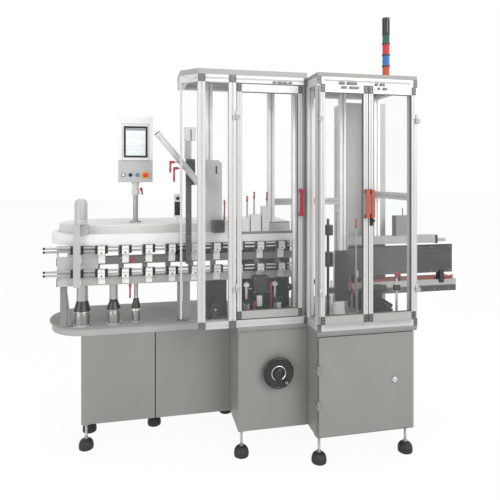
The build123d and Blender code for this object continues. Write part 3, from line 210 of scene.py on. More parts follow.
def part_paint(material, axis, limit, colour, below=True):
    """Another, slightly uneven colour below or above a place along one axis, in metres."""
    tree = material.node_tree
    shader = tree.nodes["Principled BSDF"]
    under = shader.inputs["Base Color"].links[0].from_socket
    coordinates, spot = object_place(tree, axis)
    inside = tree.nodes.new("ShaderNodeMath")
    inside.operation = "LESS_THAN" if below else "GREATER_THAN"
    inside.inputs[1].default_value = limit
    tree.links.new(spot, inside.inputs[0])
    slow = noise(tree, coordinates, 12.0)
    mix = tree.nodes.new("ShaderNodeMix")
    mix.data_type = "RGBA"
    tree.links.new(inside.outputs[0], mix.inputs["Factor"])
    tree.links.new(under, mix.inputs["A"])
    tree.links.new(ramp(tree, slow, [(0.3, tint(colour, 0.94)), (0.7, tint(colour, 1.05))]), mix.inputs["B"])
    tree.links.new(mix.outputs["Result"], shader.inputs["Base Color"])


PANE = glass_material()
tower_low, tower_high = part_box("signal_tower_lenses")
LENS = banded("tower_lenses", [(0.0, (0.48, 0.09, 0.03)), (0.245, (0.035, 0.15, 0.42)),
                               (0.50, (0.50, 0.03, 0.03)), (0.758, (0.02, 0.09, 0.05))],
              0.25, tower_low.z, tower_high.z)
COLUMN = banded("column_finish", [(0.0, (0.42, 0.42, 0.40)), (0.36, (0.04, 0.04, 0.04)),
                                  (0.62, (0.36, 0.36, 0.345))], 0.35, 0.700, 0.927, metal=0.55)
HINGES = banded("hinge_finish", [(0.0, (0.215, 0.213, 0.198)), (0.5, (0.34, 0.34, 0.33))], 0.40,
                0.400, 1.000, metal=0.1)
# The upper beam's much darker colour is painted shade; the lower beam and the pale end plates keep their own
# colour.
BEAM_PAINT_AND_SHADE = banded("beam_height_bands", [(0.0, (0.33, 0.33, 0.32)), (0.5, (0.135, 0.135, 0.13))], 0.42,
               0.927, 1.086, metal=0.2)
BRACKETS = surface("bracket_finish", (0.026, 0.028, 0.026), 0.42, metal=0.2, grain=30.0, spread=0.15)
PALE_END = -0.984  # left of this place along X the conveyor's end plates are pale
part_paint(BEAM_PAINT_AND_SHADE, "X", PALE_END, (0.40, 0.40, 0.39))
part_paint(GREY_PLASTIC, "X", PALE_END, (0.42, 0.42, 0.41))
part_paint(BRACKETS, "Y", -0.26, (0.11, 0.11, 0.105))
# Profiles behind Y -0.05, the rear posts, are coloured lighter: painted light.
part_paint(PROFILE, "Y", -0.05, (0.80, 0.80, 0.79), below=False)
part_paint(ROOF, "X", 0.155, (0.235, 0.235, 0.225), below=False)
RAILS = banded("rail_finish", [(0.0, (0.44, 0.44, 0.425)), (0.5, (0.54, 0.54, 0.53))], 0.40,
               0.717, 2.090, metal=0.2)
LEAVES = banded("leaf_finish", [(0.0, (0.32, 0.32, 0.305)), (0.42, (0.49, 0.49, 0.48))], 0.40,
                0.763, 0.863, metal=0.2)
OUTFEED = banded("outfeed_finish", [(0.0, (0.075, 0.075, 0.072)), (0.5, (0.33, 0.33, 0.32))], 0.40,
                 0.793, 0.868, metal=0.2)
screen_low, screen_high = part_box("panel_screen")
SCREEN = banded("screen_picture", [(0.0, (0.76, 0.78, 0.79)), (1.0, (0.84, 0.85, 0.855))], 0.20,
                screen_low.z, screen_high.z, constant=False)
TOP_BEAM = banded("top_beam_finish", [(0.0, (0.32, 0.32, 0.31)), (0.275, (0.19, 0.19, 0.18))], 0.42,
                  1.109, 1.287)
housing_low, housing_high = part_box("panel_housing")
HOUSING = banded("panel_finish", [(0.0, (0.41, 0.415, 0.415)), (0.335, (0.66, 0.665, 0.66))], 0.42,
                 housing_low.z, housing_high.z)
UPRIGHT = banded("upright_finish", [(0.0, (0.045, 0.048, 0.045)), (0.74, (0.40, 0.41, 0.40))], 0.45,
                 1.043, 1.800)

FINISHES = (  # material, width of the rounded edges in millimetres or 0 for none, and the nodes
    (GREY, 2.5, "base_cabinet_left base_cabinet_middle base_cabinet_right"), (GREY, 2.0, "cabinet_door"),
    (GREY, 1.2, "table_plate"), (TRAY, 1.5, "table_tray"), (RUBBER, 0, "levelling_feet"),
    (PROFILE, 1.0, "guard_posts"), (RAILS, 1.0, "guard_rails_x guard_rails_y"), (ROOF, 1.2, "guard_roof"),
    (PANE, 0, "guard_panes left_door_pane middle_door_pane right_door_pane"), (HINGES, 0, "door_hinges"),
    (LEAVES, 0.8, "left_door_frame middle_door_frame right_door_frame"),
    (CORNER, 0.5, "left_door_corners middle_door_corners right_door_corners"),
    (CRIMSON, 0, "left_door_handle panel_lever clamp_levers"),
    (ORANGE, 0, "middle_door_handle right_door_handle"), (CHROME, 0, "cabinet_lock handwheel_shaft"),
    (BLACK, 0, "handwheel signal_tower_body rail_collars panel_buttons"), (LENS, 0, "signal_tower_lenses"),
    (GREY_PLASTIC, 0, "handwheel_knob"), (GREY_PLASTIC, 0.8, "beam_spacers"),
    (CABINET, 2.5, "electrical_enclosure"), (WHITE, 2.0, "conveyor_cover"), (WHITE, 1.2, "magazine_beam"),
    (WHITE, 0, "panel_neck"), (SHELL, 1.2, "bucket_band"), (BEAM_PAINT_AND_SHADE, 1.2, "conveyor_beams"),
    (RAIL, 0, "guide_rails format_rods"), (PLASTIC, 2.0, "rail_clamps"), (PLASTIC, 1.5, "format_blocks"),
    (COLUMN, 0, "support_columns"), (LEG, 1.0, "gusset_post"), (CAP_PAINT, 2.0, "drive_cap"),
    (STEEL, 0, "panel_pole"), (HOUSING, 3.0, "panel_housing"), (SCREEN, 0, "panel_screen"),
    (UPRIGHT, 1.0, "magazine_upright"), (PALE, 0.8, "magazine_plate"), (BRACKETS, 1.5, "machine_brackets"),
    (OUTFEED, 1.0, "outfeed_frame"), (BELT, 0, "outfeed_belt"), (SIDE, 0.6, "outfeed_side_plate"),
    (TOP_BEAM, 1.2, "outfeed_top_beam"),
)
MM = 0.001
WELD_GAP = 0.00002  # vertices nearer than this are one, in metres
EDGE_ANGLE = 50  # edges sharper than this are rounded, in degrees
for material, width, names in FINISHES:
    for node in (nodes[name] for name in names.split()):
        node.data.materials.clear()
        node.data.materials.append(material)
        if width:
            weld = node.modifiers.new("weld", "WELD")
            weld.merge_threshold = WELD_GAP
            soften = node.modifiers.new("soften", "BEVEL")
            soften.width = width * MM
            soften.segments = 2
            soften.limit_method = "ANGLE"
            soften.angle_limit = math.radians(EDGE_ANGLE)
            soften.harden_normals = False


# ---- forms, in millimetres
UP = (0, 0, 1)
DOWN = (0, 0, -1)
FRONT = (0, -1, 0)
REAR = (0, 1, 0)
LEFT = (-1, 0, 0)
RIGHT = (1, 0, 0)


def circle(radius, count, start=0.0):
    """Points around a circle."""
    turns = [math.tau * k / count + start for k in range(count)]
    return [(radius * math.cos(turn), radius * math.sin(turn)) for turn in turns]


class Shape:
    """Mesh under construction, in millimetres."""

    def __init__(self):
        self.mesh = bmesh.new()

    def box(self, low, high, radius=0.0, steps=2):
        """Box between two corners, its edges rounded."""
        made = bmesh.ops.create_cube(self.mesh, size=1.0)["verts"]
        for vertex in made:
            vertex.co = Vector([low[i] + (vertex.co[i] + 0.5) * (high[i] - low[i]) for i in range(3)])
        if radius:
            edges = []
            for vertex in made:
                edges += [edge for edge in vertex.link_edges if edge not in edges]
            bmesh.ops.bevel(self.mesh, geom=edges, offset=radius, offset_type="OFFSET", segments=steps,
                            profile=0.5, affect="EDGES", clamp_overlap=True)
        return self

    def skin(self, rings, closed=False):
        """Faces between rings of points; a ring of one point is a tip."""
        rings = [[self.mesh.verts.new(point) for point in ring] for ring in rings]
        pairs = list(zip(rings, rings[1:]))
        if closed:
            pairs.append((rings[-1], rings[0]))
        steps = max(len(ring) for ring in rings)
        for first, second in pairs:
            for k in range(steps):
                after = (k + 1) % steps
                corners = [first[k % len(first)], first[after % len(first)],
                           second[after % len(second)], second[k % len(second)]]
                self.mesh.faces.new(list(dict.fromkeys(corners)))
        if not closed:
            for end in (rings[0], rings[-1]):
                if len(end) > 2:
                    self.mesh.faces.new(end)
        return self

    def turned(self, profile, centre, axis=UP, steps=24, closed=False):
        """Turned form; the profile is (radius, distance along the axis)."""
        turn = Vector(UP).rotation_difference(Vector(axis)).to_matrix()
        rings = []
        for radius, along in profile:
            count = 1 if radius < 0.001 else steps
            rings.append([Vector(centre) + turn @ Vector((u, v, along)) for u, v in circle(radius, count)])
        return self.skin(rings, closed)

    def tube(self, points, radii, steps=10):
        """Round bar along points, with a radius at each."""
        points = [Vector(point) for point in points]
        rings, side = [], None
        for index, point in enumerate(points):
            along = (points[min(index + 1, len(points) - 1)] - points[max(index - 1, 0)]).normalized()
            side = along.orthogonal() if side is None else side - along * side.dot(along)
            side.normalize()
            other = along.cross(side)
            rings.append([point + u * side + v * other for u, v in circle(radii[index], steps)])
        return self.skin(rings)

    def prism(self, outline, axis, low, high):
        """Flat outline in the plane across an axis (0, 1 or 2), drawn out from low to high."""
        def corner(point, along):
            spot = list(point)
            spot.insert(axis, along)
            return Vector(spot)
        return self.skin([[corner(point, along) for point in outline] for along in (low, high)])

    def ring(self, low, high, width, across=1):
        """Rectangular ring as thick as its corners say along one axis, with mitred corners."""
        u, v = [axis for axis in range(3) if axis != across]
        rings = []
        near, far = low[across], high[across]
        for inset, along in ((0, near), (width, near), (width, far), (0, far)):
            points = []
            for end_u, end_v in ((0, 0), (1, 0), (1, 1), (0, 1)):
                spot = [0.0, 0.0, 0.0]
                spot[u] = (high[u] - inset) if end_u else (low[u] + inset)
                spot[v] = (high[v] - inset) if end_v else (low[v] + inset)
                spot[across] = along
                points.append(Vector(spot))
            rings.append(points)
        return self.skin(rings, closed=True)

    def rod(self, radius, length, centre, axis=UP, steps=16):
        """Plain round bar."""
        return self.turned([(0, 0), (radius, 0), (radius, length), (0, length)], centre, axis, steps)

    def bolt(self, centre, axis, radius=4.0, height=3.0):
        """Button head with a socket."""
        profile = [(0, height * 0.4), (radius * 0.45, height * 0.4), (radius * 0.5, height),
                   (radius * 0.8, height), (radius, height * 0.55), (radius, -0.2), (0, -0.2)]
        return self.turned(profile, centre, axis, 12)

    def bolts(self, places_x, y, places_z, radius, height, axis=FRONT):
        """Button heads at every pair of places in an upright face."""
        for x in places_x:
            for z in places_z:
                self.bolt((x, y, z), axis, radius, height)


def make(name, shape, material, body=BASE, angle=35.0):
    """Turns a shape into a piece in metres that rides on a body."""
    mesh = bpy.data.meshes.new(name)
    for vertex in shape.mesh.verts:
        vertex.co *= MM
    bmesh.ops.recalc_face_normals(shape.mesh, faces=shape.mesh.faces[:])
    shape.mesh.to_mesh(mesh)
    shape.mesh.free()
    for polygon in mesh.polygons:
        polygon.use_smooth = True
    mesh.set_sharp_from_angle(angle=math.radians(angle))
    mesh.materials.append(material)
    piece = bpy.data.objects.new(name, mesh)
    scene.collection.objects.link(piece)
    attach(piece, body)
    return piece


def solids(name):
    """Boxes of the separate solids of a node, in millimetres."""
    copy = bmesh.new()
    copy.from_mesh(nodes[name].data)
    bmesh.ops.remove_doubles(copy, verts=copy.verts[:], dist=WELD_GAP)
    left, found = set(copy.verts), []
    for start in copy.verts:
        if start not in left:
            continue
        left.discard(start)
        reach, low, high = [start], start.co.copy(), start.co.copy()
        while reach:
            vertex = reach.pop()
            low, high = Vector(map(min, low, vertex.co)), Vector(map(max, high, vertex.co))
            for edge in vertex.link_edges:
                other = edge.other_vert(vertex)
                if other in left:
                    left.discard(other)
                    reach.append(other)
        found.append((low / MM, high / MM))
    copy.free()
    return found


# ---- guards
GROOVE_HALF = 3.8  # half of a groove strip's width
GROOVE_NEAR, GROOVE_FAR = 1.0, 5.9  # a strip's face and back, below the profile's face
SMALLEST_POST, SHORTEST_POST, SHORTEST_RAIL = 30, 300, 60
LEFT_FRONT, RIGHT_FRONT, MIDDLE, BACK = -240, -430, -200, -10  # places along Y that tell the rows apart


def groove(shape, low, high, along, deep, side):
    """Darker strip in a profile's groove as painted shade, let into its low (-1) or high (1) face across the
    axis deep.
    """
    across = 3 - along - deep
    start, end = list(low), list(high)
    start[along] += 0.5
    end[along] -= 0.5
    middle = (low[across] + high[across]) / 2
    start[across], end[across] = middle - GROOVE_HALF, middle + GROOVE_HALF
    if side < 0:
        start[deep], end[deep] = low[deep] + GROOVE_NEAR, low[deep] + GROOVE_FAR
    else:
        start[deep], end[deep] = high[deep] - GROOVE_FAR, high[deep] - GROOVE_NEAR
    shape.box(start, end, 0.6)


# Darker strips in the guard profiles' grooves: painted shade.
inserts = Shape()
for low, high in solids("guard_posts"):
    if high.x - low.x < SMALLEST_POST or high.z - low.z < SHORTEST_POST:
        continue
    if low.y < RIGHT_FRONT or ((low.x + high.x) / 2 < 150 and low.y < LEFT_FRONT):
        groove(inserts, low, high, 2, 1, -1)
        groove(inserts, low, high, 2, 0, -1)
    elif low.y > BACK:
        groove(inserts, low, high, 2, 1, 1)
        groove(inserts, low, high, 2, 1, -1)
for low, high in solids("guard_rails_x"):
    if high.x - low.x >= SHORTEST_RAIL:
        groove(inserts, low, high, 0, 1, -1 if low.y < MIDDLE else 1)
for low, high in solids("guard_rails_y"):
    if high.y - low.y > SHORTEST_RAIL:
        groove(inserts, low, high, 1, 0, -1)
make("guard_groove_strips", inserts, GROOVE_SHADE_STRIP)

DOORS = {  # left, right, front, foot and top of each leaf, and its handle's place along X
    "left_door": (-239, 131, -275, 763, 2044, 119),
    "middle_door": (167, 433, -471, 763, 2024, 421),
    "right_door": (439, 714, -471, 763, 2024, 451),
}
STILE, RAIL_HIGH, LEAF = 24, 42, 25  # a stile's width, a rail's height and a leaf's thickness
GRIP_FOOT, GRIP_TOP = 1320, 1468
GRIP_CAP = [(0, 1.2), (4.2, 1.2), (5.2, 0.4), (5.2, -0.6), (0, -0.6)]
for door, (x0, x1, front, z0, z1, handle) in DOORS.items():
    seal = Shape()
    middle = front + LEAF / 2
    for near, far in ((front + 4.5, middle - 2.6), (middle + 2.6, front + LEAF - 4.5)):
        seal.ring((x0 + STILE - 0.5, near, z0 + RAIL_HIGH - 0.5),
                  (x1 - STILE + 0.5, far, z1 - RAIL_HIGH + 0.5), 2.6)
    make(door + "_seal", seal, SEAL, door)
    stiles = (x0 + STILE / 2, x1 - STILE / 2)
    # Darker strips in the stiles' grooves: painted shade.
    strip = Shape()
    for x in stiles:
        strip.box((x - 2.8, front + 0.9, z0 + 1), (x + 2.8, front + 3.9, z1 - 1), 0.4)
    make(door + "_groove_strips", strip, GROOVE_SHADE_STRIP, door)
    heads = Shape()
    for z in (z0 + RAIL_HIGH / 2, z1 - RAIL_HIGH / 2):
        heads.bolts(stiles, front - 2, (z - 9, z + 9), 3.4, 2.0)
        heads.bolts(stiles, front + LEAF, (z,), 4.0, 2.4, REAR)
    make(door + "_screws", heads, SLEEVE, door)
    grip = Shape()
    for z, way in ((GRIP_TOP, UP), (GRIP_FOOT, DOWN)):
        grip.turned(GRIP_CAP, (handle, front - 22, z), way, 16)
    for z in (GRIP_FOOT + 6, GRIP_TOP - 6):
        grip.box((handle - 10.5, front - 1.6, z - 9), (handle + 10.5, front, z + 9), 0.7)
    make(door + "_grip_caps", grip, BLACK, door)

lock = Shape()
lock.box((443, -473, 1276), (463, -471, 1332), 1.0)
lock.turned([(0, 17), (7, 17), (9, 15), (9.6, 9), (8, 4), (7, 0), (0, 0)], (457, -473, 1304), FRONT, 20)
lock.box((455.4, -492.5, 1296), (458.6, -489, 1312), 1.0)
make("right_door_catch", lock, BLACK, "right_door")
SWITCHES = {  # each switch's left and right side
    "left_door": ((-40, -20), (-12, 14), (20, 42), (50, 69)),
    "middle_door": ((283, 311), (328, 380)),
    "right_door": ((490, 501), (519, 542)),
}
for door in ("middle_door", "right_door"):
    switch = Shape()
    for x0, x1 in SWITCHES[door]:
        switch.box((x0, -480, 2004), (x1, -471, 2016), 1.5)
    make(door + "_switch_key", switch, SWITCH, door)
switch = Shape()
for x0, x1 in SWITCHES["middle_door"] + SWITCHES["right_door"]:
    switch.box((x0, -452, 2030), (x1, -440, 2044), 1.5)
for x0, x1 in SWITCHES["left_door"]:
    switch.box((x0, -284, 2053), (x1, -275, 2063), 1.5)
make("guard_door_switches", switch, SWITCH)

heads = Shape()
heads.bolts((-433, -265, 150), -277.5, (728, 746, 2061, 2079), 4.0, 2.6)
heads.bolts((170, 731), -442.5, (728, 746, 2041, 2059), 4.0, 2.6)
PIN_HEAD = [(0, 2.2), (3, 2.2), (4.6, 1.2), (4.8, -0.5), (0, -0.5)]
for x, y, upper in ((-242, -282, (1850, 1894)), (164, -478, (1830, 1874)), (717, -478, (1830, 1874))):
    for z0, z1 in ((913, 957), upper):
        heads.turned(PIN_HEAD, (x, y, z1), UP, 16)
        heads.turned(PIN_HEAD, (x, y, z0), DOWN, 16)
make("guard_screws", heads, SLEEVE)

roof = Shape()
for x0, x1, y0, y1, top in ((-440, 145, -262, 20, 2120), (175, 725, -425, 25, 2092)):
    for i in range(4):
        x = x0 + (x1 - x0) * i / 3
        for y in (y0, y1):
            roof.turned([(0, 1.6), (4, 1.6), (6, 0.8), (6.4, -0.4), (0, -0.4)], (x, y, top), UP, 14)
make("roof_screws", roof, CHROME)

# ---- signal tower
TOWER_X, TOWER_Y = 670, -215
LENS_PROFILE = [(0, 0), (20.6, 0)]
for i in range(12):
    LENS_PROFILE += [(21.0, 3 + 4.4 * i), (20.1, 5.2 + 4.4 * i)]
LENS_PROFILE += [(21.0, 56), (20.6, 58), (0, 58)]
RING_PROFILE = [(20.5, 0), (23.6, 0.4), (23.9, 2), (23.6, 3.6), (20.5, 4)]
lenses, rings = Shape(), Shape()
for k in range(4):
    lenses.turned(LENS_PROFILE, (TOWER_X, TOWER_Y, 2130 + 66 * k), UP, 32)
piece = make("tower_ribbed_lenses", lenses, LENS, angle=20)
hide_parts("signal_tower_lenses")
for z in (2188, 2254, 2320, 2380):
    rings.turned(RING_PROFILE, (TOWER_X, TOWER_Y, z), UP, 32, True)
rings.turned([(22.2, 0), (24.5, 0.8), (24.5, 6), (22.2, 7)], (TOWER_X, TOWER_Y, 2109), UP, 32, True)
for u, v in circle(26.5, 3, 0.5):
    rings.bolt((TOWER_X + u, TOWER_Y + v, 2108), UP, 2.6, 2.4)
make("tower_rings", rings, BLACK)

# ---- handwheel
WHEEL_X, WHEEL_Z = -16, 465
low, high = (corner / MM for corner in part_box("handwheel"))
back, depth = high.y, high.y - low.y
half = depth * 0.5
hub = (WHEEL_X, back, WHEEL_Z)
wheel = Shape()
wheel.turned([(78 + u, half + v) for u, v in circle(7.6, 16)], hub, FRONT, 56, True)
wheel.turned([(0, 3), (18, 3), (26, 4), (48, 6), (72, half - 3.6), (72, half + 3.2), (58, half),
              (34, depth * 0.42), (25.6, half), (24.8, depth - 3), (22, depth - 0.6), (12, depth - 0.1),
              (0, depth)], hub, FRONT, 56)
piece = make("handwheel_dished_disc", wheel, BLACK, "handwheel", 40)
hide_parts("handwheel")
ring_mark = Shape()
arc = [math.radians(-62 + 304 * k / 30) for k in range(31)]
ring_mark.tube([(WHEEL_X + 39 * math.cos(a), back - half - 2.0, WHEEL_Z + 39 * math.sin(a)) for a in arc],
               [1.2] + [2.9] * 29 + [1.2], 10)
make("handwheel_ring_mark", ring_mark, CHROME, "handwheel")
low, high = (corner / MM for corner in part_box("handwheel_knob"))
centre = ((low.x + high.x) / 2, high.y, (low.z + high.z) / 2)
reach = high.y - low.y
knob = Shape()
knob.turned([(0, 0), (4.2, 0), (4.2, 3.5), (5.6, 5), (6.4, reach * 0.4), (7.9, reach * 0.72),
             (7.4, reach * 0.9), (4.6, reach - 0.3), (0, reach)], centre, FRONT, 24)
piece = make("handwheel_turning_grip", knob, GREY_PLASTIC, "handwheel")
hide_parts("handwheel_knob")
collar = Shape()
collar.turned([(13, 0), (21, 0), (23, 1.5), (23, 5), (20, 7), (13, 7)],
              (WHEEL_X, -276, WHEEL_Z), FRONT, 32, True)
EIGHTH = math.tau / 8
for u, v in circle(18, 4, EIGHTH):
    collar.bolt((WHEEL_X + u, -281.5, WHEEL_Z + v), FRONT, 1.9, 1.8)
make("handwheel_flange", collar, STEEL)

# ---- operator panel
PANEL = "operator_panel"
POLE_X, POLE_Y = -782, 185
FACE, PANEL_BACK = 148, 224
neck = Shape()
neck.turned([(15.1, 0), (21.5, 0), (24, 2.5), (24, 24), (20.5, 28), (18.6, 42), (18.6, 56), (21, 68),
             (24, 74), (24, 79), (15.1, 79)], (POLE_X, POLE_Y, 1426), UP, 32, True)
piece = make("panel_turned_neck", neck, WHITE, PANEL)
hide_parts("panel_neck")
lever = Shape()
lever.turned([(0, 0), (7.4, 0), (8.2, 1), (8.2, 13), (6, 17), (0, 17.5)], (-758, POLE_Y, 1463), RIGHT, 18)
lever.tube([(-750, POLE_Y, 1463), (-745, POLE_Y, 1453), (-743, POLE_Y, 1442), (-742, POLE_Y, 1432),
            (-742, POLE_Y, 1427)], [7.4, 6.2, 5.2, 5.6, 3.0], 12)
piece = make("panel_clamping_lever", lever, CRIMSON, PANEL)
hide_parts("panel_lever")
bezel = Shape()
bezel.ring((-861, FACE - 0.8, 1632), (-702.5, FACE + 0.2, 1856), 1.6)
bezel.ring((-850.5, FACE - 2.0, 1653.5), (-711.5, FACE + 1.0, 1841), 11.5)
make("panel_bezel", bezel, BLACK, PANEL)
header, tiles = Shape(), Shape()
GLASS = FACE + 1.2  # what the screen shows ends here, behind the bezel's front
header.box((-838, FACE + 0.2, 1815), (-724, GLASS, 1828), 0.1)
for column in range(3):
    for row in range(2):
        x, z = -834 + 37 * column, 1712 + 49 * row
        tiles.box((x, FACE + 0.3, z), (x + 32, GLASS, z + 42), 0.2)
for column in range(5):
    tiles.box((-834 + 22.2 * column, FACE + 0.3, 1671), (-816 + 22.2 * column, GLASS, 1691), 0.2)
header.box((-838, FACE + 0.5, 1698), (-724, GLASS, 1700), 0.1)
make("screen_header_bar", header, HEADER, PANEL)
make("screen_tiles", tiles, TILE, PANEL)
BUTTON_Z, STOP_X = 1548, -725
BUTTONS = (("white", -853, PLASTIC, "white_plastic"), ("black", -812, BLACK, "black_plastic"),
           ("blue", -770, BLUE, "white_plastic"))
COLLAR = [(8.8, 0), (10.9, 0), (11, 3.0), (10, 4.2), (8.8, 4.2)]
CAP = [(0, 0), (8.6, 0), (8.6, 7.6), (7.6, 9.2), (4, 9.8), (0, 10)]
collars = Shape()
for label, x, paint, slot in BUTTONS:
    collars.turned(COLLAR, (x, FACE + 0.3, BUTTON_Z), FRONT, 24, True)
collars.turned([(0, 2.8), (7, 2.8), (8, 11), (0, 11)], (STOP_X, FACE, BUTTON_Z), FRONT, 24)
piece = make("panel_button_collars", collars, BLACK, PANEL)
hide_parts("panel_buttons")
for label, x, paint, slot in BUTTONS:
    cap = Shape().turned(CAP, (x, FACE + 0.3, BUTTON_Z), FRONT, 24)
    make("panel_button_" + label, cap, paint, PANEL)
stop = Shape().turned([(0, 9.5), (9, 9.5), (15, 11), (16, 14), (15.4, 19), (12, 23), (6, 24.6), (0, 25)],
                      (STOP_X, FACE, BUTTON_Z), FRONT, 32)
make("panel_stop_head", stop, STOP_RED, PANEL)
plate = Shape().turned([(0, 0), (22, 0), (22, 2.2), (21, 3), (0, 3)],
                       (STOP_X, FACE + 0.2, BUTTON_Z), FRONT, 40)
make("panel_stop_plate", plate, YELLOW, PANEL)
seam = Shape()
seam.ring((-884.0, 176, 1504.6), (-680.0, 178.2, 1902.4), 1.4)
make("panel_seam", seam, BLACK, PANEL)
rear = Shape()
rear.box((-868, PANEL_BACK - 3, 1530), (-696, PANEL_BACK, 1880), 1.4)
for i in range(9):
    rear.box((-840, PANEL_BACK - 0.5, 1640 + 12 * i), (-724, PANEL_BACK + 2, 1645 + 12 * i), 1.0)
rear.bolts((-860, -704), PANEL_BACK, (1538, 1872), 3.2, 1.8, REAR)
rear.turned([(0, 14), (5, 14), (6, 12), (6, 5), (9, 5), (9, 0), (0, 0)], (-740, PANEL_BACK, 1560), REAR, 18)
make("panel_rear_cover", rear, GREY_PLASTIC, PANEL)

# ---- conveyor
TABLE, DECK = 700, 717  # top of the table, and of the plate below the guards
BAND_FRONT, BAND_TOP = -35, 1262
BEAM_LEVELS = ((927, 973), (1043, 1086))  # foot and top of the lower and the upper beam
BEAM_LEFT, BEAM_RIGHT = -1204, 147
COLUMNS, COLUMN_Y = ((-1074, 31), (-903, 23.5), (-778, 12)), 20  # each column's place along X and its radius
COVER_SCREW = [(0, 1.4), (2.4, 1.4), (3.6, 0.7), (3.8, -0.3), (0, -0.3)]
CLAMP_NUT = [(0, 1.8), (4, 1.8), (5, 0.8), (5, -0.4), (0, -0.4)]
joints, screws = Shape(), Shape()
for k in range(1, 6):
    x = -1229 + 230 * k
    joints.box((x - 0.9, 24.2, 1215), (x + 0.9, 60, BAND_TOP + 0.6), 0.3)
    joints.box((x - 0.9, 60, BAND_TOP - 1), (x + 0.9, 484.4, BAND_TOP + 0.6), 0.3)
    joints.box((x - 0.9, BAND_FRONT - 0.6, 1154), (x + 0.9, 25, 1213.4), 0.3)
for k in range(6):
    x = -1110 + 230 * k
    for y in (45, 250, 465):
        screws.turned(COVER_SCREW, (x, y, BAND_TOP), UP, 12)
    screws.bolt((x, BAND_FRONT, 1184), FRONT, 2.6, 1.4)
make("conveyor_joints", joints, PLASTIC)
make("conveyor_screws", screws, CHROME)

channels, caps = Shape(), Shape()
for z0, z1 in BEAM_LEVELS:
    for low_z, high_z in ((z0 + 0.4, z0 + 8), (z1 - 8, z1 - 0.4)):
        channels.box((BEAM_LEFT, -15.4, low_z), (BEAM_RIGHT, -13.8, high_z), 0.6)
        channels.box((BEAM_LEFT, 29.8, low_z), (BEAM_RIGHT, 31.4, high_z), 0.6)
    caps.box((BEAM_LEFT - 4, -14.5, z0 - 0.5), (BEAM_LEFT - 0.5, 30.5, z1 + 0.5), 1.2)
make("beam_channel_lips", channels, BEAM_PAINT_AND_SHADE)
for z in (1124, 1144, 994, 1014):
    caps.turned([(0, 0), (4, 0), (6.8, 1.5), (6.8, 11), (6, 12), (0, 12)], (-1274, -39, z), RIGHT, 20)
caps.box((-575, 22.5, 1087), (-399, 27.5, 1152), 1.0)
for x0, x1 in ((-395, -300), (-270, -180), (-153, -60), (-29, 66), (104, BEAM_RIGHT)):
    caps.box((x0, 12, 1092), (x1, 22.2, 1149), 2.0)
make("beam_end_caps", caps, BLACK)

slits, bolts = Shape(), Shape()
for k in range(10):
    x = -1095 + 130 * k
    for z in (1134, 1004):
        slits.box((x - 17, -62.7, z - 0.9), (x + 17, -61.0, z + 0.9), 0.3)
        bolts.bolt((x, -62, z - 19), FRONT, 4.2, 3.0)
        bolts.turned(CLAMP_NUT, (x, -45, z + 17), UP, 6)
make("clamp_slits", slits, BLACK)
make("clamp_bolts", bolts, DARK)
bolts, sleeves = Shape(), Shape()
bolts.bolts(range(-1125, 64, 132), -15.2, (936, 964, 1051, 1078), 2.8, 1.6)
for x, radius in COLUMNS:
    for u, v in circle(radius + 20, 4, EIGHTH):
        bolts.bolt((x + u, COLUMN_Y + v, TABLE), UP, 3.4, 2.6)
    sleeves.turned([(radius, 0), (radius + 15, 0), (radius + 15, 3.6), (radius + 13.4, 4.8), (radius + 11, 6),
                    (radius + 11, 30), (radius + 10.2, 31), (radius + 10.2, 33), (radius + 11, 34),
                    (radius + 11, 70), (radius + 9, 74), (radius, 74)], (x, COLUMN_Y, TABLE), UP, 36, True)
make("beam_bolts", bolts, CHROME)
make("column_sleeves", sleeves, SLEEVE)

DRIVE_X, DRIVE_Y = -1077, -15
ribs = Shape()
for z in (1276, 1290):
    ribs.turned([(33, 0), (35.6, 0.6), (35.6, 2.6), (33, 3.2)], (DRIVE_X, DRIVE_Y, z), UP, 36, True)
ribs.turned([(0, 0), (9, 0), (10, 1), (9, 3), (0, 3.4)], (DRIVE_X, DRIVE_Y, 1413.6), UP, 24)
make("drive_cap_ribs", ribs, PLASTIC)
heads = Shape()
heads.bolts((-1108, -1046), BAND_FRONT, (1222, BAND_TOP), 3.2, 2.2)
heads.bolts((-1095,), -68, (960, 1060, 1160), 3.6, 2.4)
make("drive_screws", heads, CHROME)

# ---- clamping levers
levers = Shape()
for x, y, z0, z1, r in (  # place, foot, top and hub radius of the upright levers
        (-128, -8, 1390, 1424, 6.8), (-85, -8, 1405, 1448, 6.8), (-6, -8, 1395, 1446, 6.8),
        (-266, -8, 1280, 1402, 6.8), (502, -165, 1232, 1286, 6.8), (-114, -143, DECK, 825, 6.8),
        (-17, -143, DECK, 930, 5.8)):
    tall = z1 - z0
    hub_high = min(16.0, tall * 0.4)
    levers.turned([(0, 0), (r - 0.8, 0), (r, 1), (r, hub_high - 2), (r * 0.75, hub_high), (0, hub_high)],
                  (x, y, z0), UP, 18)
    levers.tube([(x - 0.5, y, z0 + hub_high * 0.6), (x + 0.6, y, z0 + tall * 0.45),
                 (x + 1.2, y, z0 + tall * 0.7), (x + 0.6, y, z0 + tall * 0.9), (x + 0.2, y, z1)],
                [r * 0.85, r * 0.7, r * 0.75, r * 0.95, r * 0.4], 12)
spindles = Shape()
